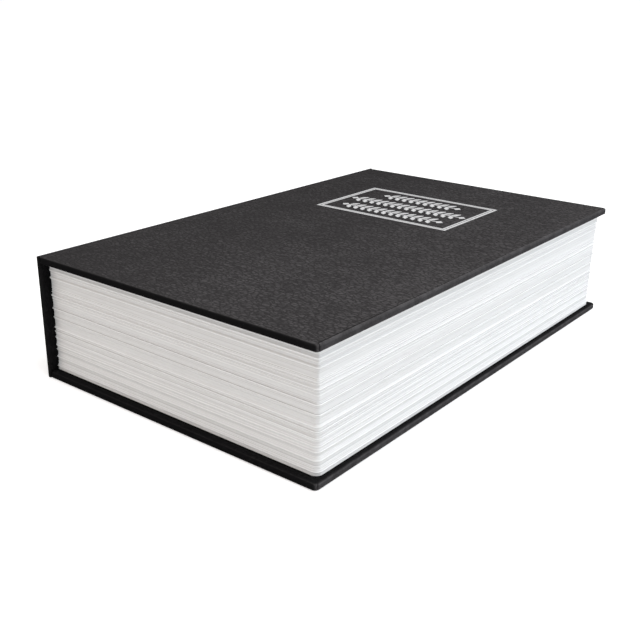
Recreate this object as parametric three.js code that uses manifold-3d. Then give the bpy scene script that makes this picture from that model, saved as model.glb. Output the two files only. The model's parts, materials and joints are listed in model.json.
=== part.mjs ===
// Lock box hidden in a book. A steel box with a hinged lid and a cam lock stands in a moulded
// block of pages, bound in a hard case whose front cover opens.
// It lies on its back cover. X runs from the spine to the fore-edge, Y from tail to head and
// Z is up, with the origin under the middle of the back cover. All sizes are in millimetres.

import * as THREE from 'three';
import { mergeVertices } from 'three/addons/utils/BufferGeometryUtils.js';
import Module from 'manifold-3d';

const wasm = await Module();
wasm.setup();

// Driving dimensions of the case
const BOOK_LENGTH = 240; // head to tail
const BOOK_WIDTH = 150; // spine to fore-edge
const BOOK_HEIGHT = 55; // over both covers
const BOARD = 2.5; // greyboard of a cover
const SPINE_BOARD = 1.5; // greyboard of the spine
const PAPER = 0.3; // covering and lining paper
const TURN_IN = 15; // covering folded over on the inside
const LINING_MARGIN = 3; // covering left showing round the lining
const JOINT = 1.2; // bare covering between the spine and a cover board
const COVER_CORNER = 1.6; // plan radius of a wrapped corner
const COVER_EDGE = 0.7; // rounding of a wrapped edge
const SPINE_ROUND = 0.45; // share of the spine's thickness that each end corner rounds

// Driving dimensions of the page block
const END_SQUARE = 3.6; // cover past the pages at head and tail
const FORE_SQUARE = 2.2; // cover past the pages at the fore-edge
const GLUE = 0.2; // glue between the page block and the spine
const PAGE_CORNER = 3.5; // plan radius of the block
const PAGE_WALL = 2.2; // wall behind the page edges
const PAGE_BUNDLES = [1.7, 4.3, 3.6, 2.2, 3.2, 2.7, 1.9, 4.8, 4, 6, 7.8, 3.3, 2.7]; // bottom to top
const PAGE_RIDGE = 0.45; // height of the lip at a bundle's edges
const PAGE_GROOVE = 0.65; // depth of the line between two bundles
const PAGE_HOLLOW = 0.35; // depth of a bundle's hollow face
const PAGE_LEAN = 0.25; // most that one bundle stands back
const PAGE_SHUFFLE = 2.4; // phase step that makes neighbouring bundles stand back unlike
const PAGE_FLARE = [0.7, 0.5]; // share of the hollow right above and right below a lip
const PAGE_FAN = 0.8; // fall of the upper bundles towards the fore-edge
const DECK_WIDTH = 7; // white rim round the lid
const DECK = 2; // thickness of that rim
const SKIRT = 1.6; // thickness of the rim's inner lip
const SKIRT_DROP = 4; // depth of that lip under the rim
const RIB = 1.5; // thickness of a stiffening rib
const RIB_PITCH = 34; // distance between two ribs
const RIB_DROP = 0.9; // low ribs under the lid's turned-down edge

// Driving dimensions of the steel box
const SHEET = 0.8; // steel sheet
const FIT = 0.3; // clearance of pieces that seat together
const LID_GAP = 0.8; // open line round the lid
const LID_RECESS = 2; // rim above the lid
const LID_FLANGE = 5; // turned-down edge of the lid
const LID_CORNER = 3.2; // plan radius of the lid
const LIP = 6; // inward lip at head and tail
const CATCH_LIP = 9; // inward lip that holds the cam
const PIN_RADIUS = 1;
const KNUCKLES = 11; // both ends belong to the box
const KNUCKLE_GAP = 0.4;
const CURL_SWEEP = THREE.MathUtils.degToRad(290);
const RIVET_RADIUS = 1.6;
const RIVET_HEAD = 3.2; // radius of both heads
const RIVET_CROWN = 1.2; // height of the round head
const RIVET_INSET = 16; // box wall to a rivet

// Driving dimensions of the cam lock
const LOCK_SETBACK = 12.5; // lock axis to the edge of the catch lip
const FACE_RADIUS = 10;
const FACE_THICKNESS = 1.6;
const BARREL_RADIUS = 7.5;
const BARREL_FLAT = 6.5; // axis to a flat of the barrel
const PLUG_RADIUS = 5.5;
const KEYWAY = [7.6, 1.8]; // length and width
const WAFERS = 5;
const WAFER = [9, 5.8, 0.9]; // along the key blade, across it, thickness
const WAFER_PITCH = 2;
const WAFER_FIRST = 2.6; // plug face to the middle of the first wafer
const WAFER_WINDOW = [5.4, 2.4];
const WAFER_THROW = 0.9; // groove beyond the plug that a wafer springs into without a key
const SHANK = 6; // square end of the plug
const NUT_FLATS = 19;
const NUT = 3;
const CAM = 1.5; // thickness of the cam
const CAM_WIDTH = 9;
const CAM_HUB = 5.5; // radius round the square hole
const CAM_PASS = 0.75; // cam's upright to the barrel
const CAM_OVERLAP = 5; // cam under the catch lip
const CAM_TIP = 5; // flat end of the cam
const WASHER = 0.6;
const WASHER_RADIUS = 4.5;
const SCREW_RADIUS = 1.5;
const SCREW_LENGTH = 5;
const SCREW_HEAD = 3.15; // radius of the pan head
const SCREW_RIM = 0.7; // straight edge of the head
const SCREW_CROWN = 1.1; // rounded height above that edge
const PLUG_WEB = 0.8; // plug left between the last wafer and the screw

// Facets of round parts
const CORNER_STEPS = 3;
const CURL_STEPS = 10;
const ROUND_FACETS = 32;
const SMALL_FACETS = 20;

const PAST = 1; // how far a cut runs past the face that it opens

const rect = (x0, x1, y0, y1) => ({ x0, x1, y0, y1 });
const inset = (r, d) => rect(r.x0 + d, r.x1 - d, r.y0 + d, r.y1 - d);
const around = (x, y, halfX, halfY) => rect(x - halfX, x + halfX, y - halfY, y + halfY);

// Levels and outlines of the case
const book = rect(-BOOK_WIDTH / 2, BOOK_WIDTH / 2, -BOOK_LENGTH / 2, BOOK_LENGTH / 2);
const cover = BOARD + 2 * PAPER;
const spineInside = book.x0 + SPINE_BOARD + 2 * PAPER;
const spine = rect(book.x0, spineInside, book.y0, book.y1);
const spineCorner = SPINE_ROUND * (spineInside - book.x0);
const jointEnd = spineInside + JOINT;
const frontInside = BOOK_HEIGHT - cover;

// Levels and outlines of the page block and its opening
const block = rect(
  spineInside + GLUE,
  book.x1 - FORE_SQUARE,
  book.y0 + END_SQUARE,
  book.y1 - END_SQUARE,
);
const blockTop = frontInside - PAPER - FIT;
const opening = inset(block, DECK_WIDTH);
const deckUnder = blockTop - DECK;

// Levels and outlines of the steel box and lid
const lidTop = blockTop - LID_RECESS;
const lipTop = lidTop - SHEET - FIT;
const lipUnder = lipTop - SHEET;
const lid = inset(opening, LID_GAP);
const wall = SHEET + FIT;
const box = rect(lid.x0, lid.x1 - wall, lid.y0 + wall, lid.y1 - wall);
const room = inset(box, SHEET);
const mouth = rect(room.x0, room.x1 - CATCH_LIP, room.y0 + LIP, room.y1 - LIP);
const boxCorner = LID_CORNER - wall;

// Hinge line, rolled so that the barrel is flush with the box's back and the lid's top
const curlInner = PIN_RADIUS + FIT;
const curlOuter = curlInner + SHEET;
const hinge = { x: box.x0 + curlOuter, z: lidTop - curlOuter, half: mouth.y1 - FIT - KNUCKLE_GAP };
const lidStart = hinge.x + curlOuter + KNUCKLE_GAP;

// Lock axis and levels, measured from the top of the lid
const lockX = mouth.x1 - LOCK_SETBACK;
const waferLevel = (index) => FACE_THICKNESS - WAFER_FIRST - index * WAFER_PITCH;
const waferFoot = waferLevel(WAFERS - 1) - WAFER[2] / 2 - FIT / 2;
const screwTop = waferFoot - PLUG_WEB;
const plugFoot = screwTop + WASHER + CAM + 2 * FIT - SCREW_LENGTH;
const camTop = plugFoot - FIT;
const camUnder = camTop - CAM - FIT;
const camReach = LOCK_SETBACK + CAM_OVERLAP;
const tipTop = lipUnder - lidTop - FIT;

// Turns a closed geometry into a solid whose corners lie on a fine grid, so that faces
// worked out in two ways still meet exactly.
function solid(geometry) {
  const bare = geometry.clone();
  bare.deleteAttribute('normal');
  bare.deleteAttribute('uv');
  const points = bare.attributes.position.array;
  points.forEach((value, i) => {
    points[i] = Math.round(value * 1e4) / 1e4;
  });
  const merged = mergeVertices(bare, 1e-4);
  const corners = merged.index.array;
  const kept = [];
  for (let i = 0; i < corners.length; i += 3) {
    const [a, b, c] = corners.slice(i, i + 3);
    if (a !== b && b !== c && c !== a) kept.push(a, b, c);
  }
  return new wasm.Manifold(
    new wasm.Mesh({
      numProp: 3,
      vertProperties: new Float32Array(merged.attributes.position.array),
      triVerts: new Uint32Array(kept),
    }),
  );
}

function geometryOf(body) {
  const mesh = body.getMesh();
  const geometry = new THREE.BufferGeometry();
  geometry.setAttribute('position', new THREE.BufferAttribute(mesh.vertProperties, 3));
  geometry.setIndex(new THREE.BufferAttribute(mesh.triVerts, 1));
  geometry.computeVertexNormals();
  return geometry;
}

function roundedPlan(r, radius) {
  const shape = new THREE.Shape();
  shape.absarc(r.x1 - radius, r.y0 + radius, radius, -Math.PI / 2, 0);
  shape.absarc(r.x1 - radius, r.y1 - radius, radius, 0, Math.PI / 2);
  shape.absarc(r.x0 + radius, r.y1 - radius, radius, Math.PI / 2, Math.PI);
  shape.absarc(r.x0 + radius, r.y0 + radius, radius, Math.PI, 1.5 * Math.PI);
  return shape;
}

function plate(r, z0, z1) {
  const shape = new THREE.BoxGeometry(r.x1 - r.x0, r.y1 - r.y0, z1 - z0);
  return solid(shape.translate((r.x0 + r.x1) / 2, (r.y0 + r.y1) / 2, (z0 + z1) / 2));
}

function roundedPlate(r, radius, z0, z1) {
  const shape = new THREE.ExtrudeGeometry(roundedPlan(r, radius), {
    depth: z1 - z0,
    bevelEnabled: false,
    curveSegments: CORNER_STEPS,
  });
  return solid(shape.translate(0, 0, z0));
}

// Plate with all its edges rounded, as paper folded round a board
function softPlate(r, radius, edge, z0, z1) {
  const shape = new THREE.ExtrudeGeometry(roundedPlan(r, radius), {
    depth: z1 - z0 - 2 * edge,
    bevelThickness: edge,
    bevelSize: edge,
    bevelOffset: -edge,
    bevelSegments: CORNER_STEPS,
    curveSegments: CORNER_STEPS,
  });
  return solid(shape.translate(0, 0, z0 + edge));
}

// Profile drawn in X and Z, drawn out along Y
function alongY(shape, y0, y1) {
  const drawn = new THREE.ExtrudeGeometry(shape, {
    depth: y1 - y0,
    bevelEnabled: false,
    curveSegments: CURL_STEPS,
  });
  return solid(drawn.rotateX(Math.PI / 2).translate(0, y1, 0));
}

// Profile of radius and height pairs, turned about Z
function turned(profile, facets) {
  const points = profile.map(([radius, height]) => new THREE.Vector2(radius, height));
  return solid(new THREE.LatheGeometry(points, facets).rotateX(Math.PI / 2));
}

// Radius and height pairs of a domed head, from its edge to the axis
function dome(radius, z, height) {
  return Array.from({ length: CORNER_STEPS + 1 }, (unused, i) => {
    const angle = (i / CORNER_STEPS) * (Math.PI / 2);
    return [i < CORNER_STEPS ? radius * Math.cos(angle) : 0, z + height * Math.sin(angle)];
  });
}

function disc(radius, z0, z1, facets = ROUND_FACETS) {
  const shape = new THREE.CylinderGeometry(radius, radius, z1 - z0, facets);
  return solid(shape.rotateX(Math.PI / 2).translate(0, 0, (z0 + z1) / 2));
}

// Covering of the front cover, or of the back one when mirrored down to the floor. It wraps
// three edges of the board and stays open at the joint.
function coverWrap(z0, z1, insideIsUp, start) {
  const blank = softPlate({ ...book, x0: book.x0 - TURN_IN }, COVER_CORNER, COVER_EDGE, z0, z1);
  const board = inset({ ...book, x0: book.x0 - 2 * TURN_IN }, PAPER);
  const window = inset({ ...book, x0: book.x0 - 2 * TURN_IN }, TURN_IN);
  const middle = (z0 + z1) / 2;
  const inner = insideIsUp ? [middle, z1 + PAPER] : [z0 - PAPER, middle];
  return blank
    .subtract(roundedPlate(board, COVER_CORNER - PAPER, z0 + PAPER, z1 - PAPER))
    .subtract(plate(window, ...inner))
    .intersect(plate(rect(start, book.x1, book.y0, book.y1), z0, z1));
}

// The back covering also crosses the joint and meets the spine.
function backWrap() {
  const joint = rect(spineInside, jointEnd, book.y0 + COVER_EDGE, book.y1 - COVER_EDGE);
  return coverWrap(0, cover, true, jointEnd).add(plate(joint, 0, PAPER));
}

// Board of a cover, rounded at the fore-edge corners and square at the joint
function coverBoard(z0) {
  const outline = inset({ ...book, x0: book.x0 - TURN_IN }, PAPER);
  const foot = z0 + PAPER;
  return roundedPlate(outline, COVER_CORNER - PAPER, foot, foot + BOARD)
    .intersect(plate(rect(jointEnd, book.x1, book.y0, book.y1), foot, foot + BOARD));
}

// Paper inside the front cover: one sheet that steps over the edges of the covering.
function frontLining() {
  const sheet = rect(
    jointEnd + LINING_MARGIN,
    book.x1 - LINING_MARGIN,
    book.y0 + LINING_MARGIN,
    book.y1 - LINING_MARGIN,
  );
  const step = TURN_IN + FIT;
  const raised = rect(sheet.x0, book.x1 - step, book.y0 + step, book.y1 - step);
  const under = frontInside - PAPER;
  return plate(sheet, under, frontInside).add(plate(raised, under, frontInside + PAPER));
}

// Covering of the spine, with a turned-in tab at each end
function spineWrap() {
  const between = inset(spine, PAPER);
  const tabs = rect(spineInside - PAPER, spineInside + PAPER, book.y0 + TURN_IN, book.y1 - TURN_IN);
  return softPlate(spine, spineCorner, COVER_EDGE, 0, BOOK_HEIGHT)
    .subtract(roundedPlate(between, spineCorner - PAPER, PAPER, BOOK_HEIGHT - PAPER))
    .subtract(plate(tabs, PAPER, BOOK_HEIGHT - PAPER));
}

function spineBoard() {
  return roundedPlate(inset(spine, PAPER), spineCorner - PAPER, PAPER, BOOK_HEIGHT - PAPER);
}

// Free paper of the front joint, which folds when the cover opens
function coverCrease() {
  const strip = rect(spineInside, jointEnd, book.y0 + COVER_EDGE, book.y1 - COVER_EDGE);
  return plate(strip, BOOK_HEIGHT - PAPER, BOOK_HEIGHT);
}

// One level of the page block: a rounded loop drawn in by a depth, whose upper levels fall
// towards the fore-edge as the leaves of a thick book do.
function pageLoop(height, depth) {
  const share = (height - cover) / (blockTop - cover);
  const fall = PAGE_FAN * Math.sin(Math.PI * share ** 3);
  const flat = roundedPlan(inset(block, depth), PAGE_CORNER - depth).getPoints(CORNER_STEPS);
  return flat
    .slice(0, -1)
    .map(({ x, y }) => {
      const out = (x - block.x0) / (block.x1 - block.x0);
      return [x, y, height - fall * out];
    });
}

// Levels of one bundle of pages, as height and depth pairs: a groove, a lip, a hollow face
// and a second lip.
function bundleLevels(foot, height, index) {
  const back = PAGE_LEAN * Math.abs(Math.sin(PAGE_SHUFFLE * index));
  const ridge = Math.min(PAGE_RIDGE, height / 4);
  const head = foot + height;
  return [
    [foot, PAGE_GROOVE],
    [foot + ridge / 3, back],
    [foot + ridge, back + PAGE_HOLLOW * PAGE_FLARE[0]],
    [foot + height / 2, back + PAGE_HOLLOW],
    [head - ridge, back + PAGE_HOLLOW * PAGE_FLARE[1]],
    [head - ridge / 3, back],
  ];
}

// Skin over a stack of loops, closed at the foot and the head
function loft(loops) {
  const count = loops[0].length;
  const middle = (loop) => [0, 1, 2].map((k) => loop.reduce((sum, p) => sum + p[k], 0) / count);
  const last = loops.length - 1;
  const points = [...loops.flat(), middle(loops[0]), middle(loops[last])];
  const faces = [];
  for (let j = 0; j < count; j += 1) {
    const next = (j + 1) % count;
    for (let i = 0; i < last; i += 1) {
      const low = i * count;
      const high = low + count;
      faces.push(low + j, low + next, high + next, low + j, high + next, high + j);
    }
    faces.push(last * count + count, next, j);
    faces.push(last * count + count + 1, last * count + j, last * count + next);
  }
  const geometry = new THREE.BufferGeometry();
  geometry.setAttribute('position', new THREE.Float32BufferAttribute(points.flat(), 3));
  geometry.setIndex(faces);
  return solid(geometry);
}

function pageSkin() {
  const total = PAGE_BUNDLES.reduce((sum, part) => sum + part, 0);
  const scale = (blockTop - cover) / total;
  const levels = [];
  let foot = cover;
  PAGE_BUNDLES.forEach((part, index) => {
    levels.push(...bundleLevels(foot, part * scale, index));
    foot += part * scale;
  });
  levels.push([blockTop, PAGE_GROOVE]);
  return loft(levels.map(([height, depth]) => pageLoop(height, depth)));
}

// Ribs between the page wall and the steel box, on all four sides. Each is tall outside the
// lip of the rim and low enough inside it to pass under the lid's turned-down edge.
function pageRibs() {
  const outside = inset(block, PAGE_WALL - SKIRT / 2);
  const lowTop = lidTop - LID_FLANGE - RIB_DROP;
  const seat = rect(box.x0 - FIT, box.x1 + FIT, box.y0 - FIT, box.y1 + FIT);
  const ribAt = (strip) =>
    plate(strip, cover, deckUnder + DECK / 2)
      .subtract(plate(inset(opening, -SKIRT / 2), lowTop, blockTop))
      .subtract(plate(seat, cover - PAST, blockTop));
  const ribs = [];
  const countY = Math.floor((seat.y1 - seat.y0) / RIB_PITCH);
  const countX = Math.floor((seat.x1 - seat.x0) / RIB_PITCH);
  for (let i = 0; i < countY; i += 1) {
    const y = (i - (countY - 1) / 2) * RIB_PITCH;
    ribs.push(ribAt(rect(outside.x0, outside.x1, y - RIB / 2, y + RIB / 2)));
  }
  for (let i = 0; i < countX; i += 1) {
    const x = (seat.x0 + seat.x1) / 2 + (i - (countX - 1) / 2) * RIB_PITCH;
    ribs.push(ribAt(rect(x - RIB / 2, x + RIB / 2, outside.y0, outside.y1)));
  }
  return ribs;
}

// Lid's opening grown by a margin, rounded at the fore-edge and square at the hinge, where
// the open lid stands in the corners
function openingPlate(margin, z0, z1) {
  const outline = inset(opening, -margin);
  const hingeHalf = { ...outline, x1: (outline.x0 + outline.x1) / 2 };
  return roundedPlate(outline, LID_CORNER + LID_GAP + margin, z0, z1).add(plate(hingeHalf, z0, z1));
}

// Moulded page block: page edges outside, a flat rim round the lid, hollow and ribbed below
function pageFrame() {
  const hollow = roundedPlate(
    inset(block, PAGE_WALL),
    PAGE_CORNER - PAGE_WALL,
    cover - PAST,
    deckUnder,
  );
  const skirtFoot = deckUnder - SKIRT_DROP;
  const skirt = openingPlate(SKIRT, skirtFoot, deckUnder + DECK / 2);
  const hole = openingPlate(0, skirtFoot - PAST, blockTop + PAST);
  const shell = pageSkin().subtract(hollow).add(skirt).subtract(hole);
  return pageRibs().reduce((sum, rib) => sum.add(rib), shell);
}

// Sheet rolled round the hinge pin from a start angle through a signed sweep
function curl(start, sweep, y0, y1) {
  const shape = new THREE.Shape();
  shape.absarc(hinge.x, hinge.z, curlOuter, start, start + sweep, sweep < 0);
  shape.absarc(hinge.x, hinge.z, curlInner, start + sweep, start, sweep > 0);
  return alongY(shape, y0, y1);
}

// Ends of every knuckle along the hinge: even ones belong to the box and odd ones to the lid
function knuckles(parity) {
  const pitch = (2 * hinge.half) / KNUCKLES;
  const spans = [];
  for (let i = parity; i < KNUCKLES; i += 2) {
    const start = -hinge.half + i * pitch;
    spans.push([start + KNUCKLE_GAP / 2, start + pitch - KNUCKLE_GAP / 2]);
  }
  return spans;
}

const rivetSpots = [room.x0 + RIVET_INSET, room.x1 - RIVET_INSET].flatMap((x) =>
  [room.y0 + RIVET_INSET, room.y1 - RIVET_INSET].map((y) => [x, y]),
);

// Folded steel box: floor, four walls, inward lips on three sides and rolled knuckles on the
// fourth
function safeBody() {
  const shell = roundedPlate(box, boxCorner, cover, lipTop)
    .subtract(roundedPlate(room, boxCorner - SHEET, cover + SHEET, lipUnder))
    .subtract(roundedPlate(mouth, boxCorner - SHEET, lipUnder - PAST, lipTop + PAST));
  const slotFoot = hinge.z - curlOuter - 2 * KNUCKLE_GAP;
  const slot = rect(box.x0 - PAST, room.x0 + PAST, -hinge.half, hinge.half);
  let body = shell.subtract(plate(slot, slotFoot, lipTop + PAST));
  for (const [y0, y1] of knuckles(0)) {
    const back = rect(box.x0, room.x0, y0, y1);
    body = body.add(plate(back, slotFoot - SHEET, hinge.z));
    body = body.add(curl(Math.PI, -CURL_SWEEP, y0, y1));
  }
  for (const [x, y] of rivetSpots) {
    const hole = disc(RIVET_RADIUS + FIT, cover - PAST, cover + SHEET + PAST, SMALL_FACETS);
    body = body.subtract(hole.translate([x, y, 0]));
  }
  return body;
}

// Round bar with two flats, for the lock's barrel and the hole that keeps it from turning
function flattedBar(radius, flat, z0, z1) {
  return disc(radius, z0, z1).intersect(plate(around(0, 0, 2 * radius, flat), z0, z1));
}

// Lid with turned-down edges on three sides and rolled knuckles on the fourth
function safeLid() {
  const top = { ...lid, x0: lidStart };
  const under = { ...inset(top, SHEET), x0: lidStart - 2 * LID_CORNER };
  let body = roundedPlate(top, LID_CORNER, lidTop - LID_FLANGE, lidTop).subtract(
    roundedPlate(under, LID_CORNER - SHEET, lidTop - LID_FLANGE - PAST, lidTop - SHEET),
  );
  for (const [y0, y1] of knuckles(1)) {
    const web = rect(hinge.x, lidStart + SHEET, y0, y1);
    body = body.add(plate(web, lidTop - SHEET, lidTop));
    body = body.add(curl(Math.PI / 2, CURL_SWEEP, y0, y1));
  }
  const hole = flattedBar(BARREL_RADIUS + FIT, BARREL_FLAT + FIT, -SHEET - PAST, PAST);
  return body.subtract(hole.translate([lockX, 0, lidTop]));
}

function hingePin() {
  const pin = new THREE.CylinderGeometry(PIN_RADIUS, PIN_RADIUS, 2 * hinge.half, SMALL_FACETS);
  return solid(pin.translate(hinge.x, 0, hinge.z));
}

// Rivet through the box floor and the back board, with a low round head inside the box
function floorRivet() {
  const floor = cover + SHEET;
  return turned(
    [
      [0, PAPER],
      [RIVET_HEAD, PAPER],
      [RIVET_RADIUS, PAPER + BOARD / 2],
      [RIVET_RADIUS, floor],
      ...dome(RIVET_HEAD, floor, RIVET_CROWN),
    ],
    SMALL_FACETS,
  );
}

// Back board, bored and countersunk from below for the rivets
function backBoard() {
  let board = coverBoard(0);
  const sink = turned(
    [
      [0, PAPER - PAST],
      [RIVET_HEAD + FIT, PAPER - PAST],
      [RIVET_HEAD + FIT, PAPER],
      [RIVET_RADIUS + FIT, PAPER + BOARD / 2],
      [RIVET_RADIUS + FIT, cover + PAST],
      [0, cover + PAST],
    ],
    SMALL_FACETS,
  );
  for (const [x, y] of rivetSpots) board = board.subtract(sink.translate([x, y, 0]));
  return board;
}

// Lock case: round face, flatted barrel, and a bore with a groove for the wafers on each side
function lockHousing() {
  const groove = WAFER[1] / 2 + FIT;
  const grooves = around(0, 0, PLUG_RADIUS + WAFER_THROW, groove);
  return disc(FACE_RADIUS, 0, FACE_THICKNESS)
    .add(flattedBar(BARREL_RADIUS, BARREL_FLAT, plugFoot, FACE_THICKNESS / 2))
    .subtract(disc(PLUG_RADIUS + FIT, plugFoot - PAST, FACE_THICKNESS + PAST))
    .subtract(plate(grooves, plugFoot - PAST, -FACE_THICKNESS));
}

// Plug that the key turns: key slot in its face, a slot for each wafer and a square end
function lockPlug() {
  let plug = turned(
    [
      [0, plugFoot],
      [PLUG_RADIUS, plugFoot],
      [PLUG_RADIUS, FACE_THICKNESS - FIT],
      [PLUG_RADIUS - FIT, FACE_THICKNESS],
      [0, FACE_THICKNESS],
    ],
    ROUND_FACETS,
  );
  plug = plug.add(plate(around(0, 0, SHANK / 2, SHANK / 2), camUnder, screwTop));
  const slot = around(0, 0, KEYWAY[0] / 2, KEYWAY[1] / 2);
  plug = plug.subtract(plate(slot, waferFoot, FACE_THICKNESS + PAST));
  for (let i = 0; i < WAFERS; i += 1) {
    const gap = WAFER[2] / 2 + FIT / 2;
    const across = around(0, 0, PLUG_RADIUS + PAST, WAFER[1] / 2 + FIT / 2);
    plug = plug.subtract(plate(across, waferLevel(i) - gap, waferLevel(i) + gap));
  }
  return plug.subtract(disc(SCREW_RADIUS + FIT, camUnder - PAST, screwTop, SMALL_FACETS));
}

function lockWafer(index) {
  const level = waferLevel(index);
  const body = plate(
    around(0, 0, WAFER[0] / 2, WAFER[1] / 2),
    level - WAFER[2] / 2,
    level + WAFER[2] / 2,
  );
  const window = around(0, 0, WAFER_WINDOW[0] / 2, WAFER_WINDOW[1] / 2);
  return body.subtract(plate(window, level - WAFER[2], level + WAFER[2]));
}

function lockNut() {
  const nut = disc(NUT_FLATS / Math.sqrt(3), -SHEET - NUT, -SHEET, 6);
  return nut.subtract(disc(BARREL_RADIUS + FIT, -SHEET - NUT - PAST, PAST));
}

// Cam plate bent up from the plug's end to the underside of the catch lip
function lockCam() {
  const tipFoot = tipTop - CAM;
  const base = camTop - CAM;
  const bend = camReach - CAM_TIP;
  const rise = BARREL_RADIUS + CAM_PASS + CAM;
  const profile = new THREE.Shape();
  profile.moveTo(0, base);
  profile.lineTo(rise + CAM / 2, base);
  profile.lineTo(bend + CAM / 2, tipFoot);
  profile.lineTo(camReach, tipFoot);
  profile.lineTo(camReach, tipTop);
  profile.lineTo(bend - CAM / 2, tipTop);
  profile.lineTo(rise - CAM / 2, camTop);
  profile.lineTo(0, camTop);
  const hub = disc(CAM_HUB, base, camTop);
  const hole = SHANK / 2 + FIT;
  return alongY(profile, -CAM_WIDTH / 2, CAM_WIDTH / 2)
    .add(hub)
    .subtract(plate(around(0, 0, hole, hole), base - PAST, camTop + PAST))
    .rotate([0, 0, -90]);
}

function camWasher() {
  const foot = camUnder - WASHER;
  const hole = disc(SCREW_RADIUS + FIT, foot - PAST, camUnder + PAST, SMALL_FACETS);
  return disc(WASHER_RADIUS, foot, camUnder, SMALL_FACETS).subtract(hole);
}

// Pan-head screw that holds the cam, head down
function camScrew() {
  const seat = camUnder - WASHER;
  const tip = seat + SCREW_LENGTH - FIT;
  return turned(
    [
      ...dome(SCREW_HEAD, seat - SCREW_RIM, -SCREW_CROWN).reverse(),
      [SCREW_HEAD, seat],
      [SCREW_RADIUS, seat],
      [SCREW_RADIUS, tip],
      [0, tip],
    ],
    SMALL_FACETS,
  );
}

function finish(color, roughness, metalness) {
  return new THREE.MeshStandardMaterial({ color, roughness, metalness });
}

const leatherette = finish(0x262627, 0.55, 0);
const greyboard = finish(0x8b857b, 0.95, 0);
const liningPaper = finish(0x171717, 0.85, 0);
const whitePlastic = finish(0xe4e4e2, 0.5, 0);
const blackSteel = finish(0x1c1c1e, 0.45, 0.4);
const brightSteel = finish(0xb9bbbd, 0.3, 1);
const chrome = finish(0xd8dadc, 0.15, 1);
const brass = finish(0xb99b4d, 0.3, 1);

function piece(name, body, material) {
  const mesh = new THREE.Mesh(geometryOf(body), material);
  mesh.name = name;
  return mesh;
}

function assembly(...parts) {
  const group = new THREE.Group();
  group.add(...parts);
  return group;
}

const frontCover = assembly(
  piece('front_board', coverBoard(frontInside), greyboard),
  piece('front_wrap', coverWrap(frontInside, BOOK_HEIGHT, false, jointEnd), leatherette),
  piece('front_lining', frontLining(), liningPaper),
);

const spineAndBack = assembly(
  piece('spine_board', spineBoard(), greyboard),
  piece('spine_wrap', spineWrap(), leatherette),
  piece('back_board', backBoard(), greyboard),
  piece('back_wrap', backWrap(), leatherette),
  piece('cover_crease', coverCrease(), leatherette),
);

const lockParts = assembly(
  piece('lock_housing', lockHousing(), chrome),
  piece('lock_nut', lockNut(), brightSteel),
  piece('lock_plug', lockPlug(), brass),
  piece('lock_cam', lockCam(), brightSteel),
  piece('cam_washer', camWasher(), brightSteel),
  piece('cam_screw', camScrew(), brightSteel),
);
for (let i = 0; i < WAFERS; i += 1) {
  lockParts.add(piece(`lock_wafer_${i + 1}`, lockWafer(i), brass));
}
lockParts.position.set(lockX, 0, lidTop);

const steelBox = assembly(
  piece('safe_body', safeBody(), blackSteel),
  piece('safe_lid', safeLid(), blackSteel),
  piece('hinge_pin', hingePin(), brightSteel),
  lockParts,
);
rivetSpots.forEach(([x, y], index) => {
  const rivet = piece(`floor_rivet_${index + 1}`, floorRivet(), brightSteel);
  rivet.position.set(x, y, 0);
  steelBox.add(rivet);
});

const bookSafe = assembly(
  frontCover,
  spineAndBack,
  piece('page_frame', pageFrame(), whitePlastic),
  steelBox,
);

export default bookSafe;
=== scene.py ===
# %% [markdown]
# # A lock box hidden in a book
# From outside this is a thick black book that lies on its back cover. Its pages are one white
# plastic moulding, and under the front cover a painted steel box with a hinged lid and a cam lock
# stands in that moulding. The solids of the part are exact but plain, so this lesson gives each
# surface its grain, sheen, lines and wear, and models anew the pieces that the eye reads first:
# the leather-grained covering, the page edges, the foil panel and the lock.
#
# The frame is loaded first. It places every solid at its real size, and each piece that follows
# takes its place from it.

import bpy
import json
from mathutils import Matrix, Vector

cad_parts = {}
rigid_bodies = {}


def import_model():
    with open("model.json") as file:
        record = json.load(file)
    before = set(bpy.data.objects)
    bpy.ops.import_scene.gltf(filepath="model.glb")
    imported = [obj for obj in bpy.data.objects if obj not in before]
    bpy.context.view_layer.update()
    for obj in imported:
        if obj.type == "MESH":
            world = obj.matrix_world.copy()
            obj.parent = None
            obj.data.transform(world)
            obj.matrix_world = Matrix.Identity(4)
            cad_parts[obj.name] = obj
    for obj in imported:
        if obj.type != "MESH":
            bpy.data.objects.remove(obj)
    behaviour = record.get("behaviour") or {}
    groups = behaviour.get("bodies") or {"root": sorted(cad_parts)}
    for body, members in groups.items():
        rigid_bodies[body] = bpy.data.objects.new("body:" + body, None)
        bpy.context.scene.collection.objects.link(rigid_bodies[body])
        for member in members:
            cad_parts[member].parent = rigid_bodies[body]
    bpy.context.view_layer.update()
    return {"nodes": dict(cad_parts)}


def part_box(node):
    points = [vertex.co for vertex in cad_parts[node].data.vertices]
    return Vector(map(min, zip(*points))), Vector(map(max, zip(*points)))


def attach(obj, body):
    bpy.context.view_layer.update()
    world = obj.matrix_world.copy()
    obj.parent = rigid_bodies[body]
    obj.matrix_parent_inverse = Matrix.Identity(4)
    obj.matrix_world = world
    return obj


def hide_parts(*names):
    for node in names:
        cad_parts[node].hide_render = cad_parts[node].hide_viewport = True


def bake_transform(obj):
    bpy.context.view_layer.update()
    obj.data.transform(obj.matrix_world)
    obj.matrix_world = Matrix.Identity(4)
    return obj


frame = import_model()

# %% Modules and units
import json
import math
import random
from contextlib import contextmanager
from functools import partial

import bmesh
import bpy
from mathutils import Quaternion, Vector, noise

MM = 0.001  # one millimetre in scene units
print("lengths are in metres, and a millimetre is", MM)
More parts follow.
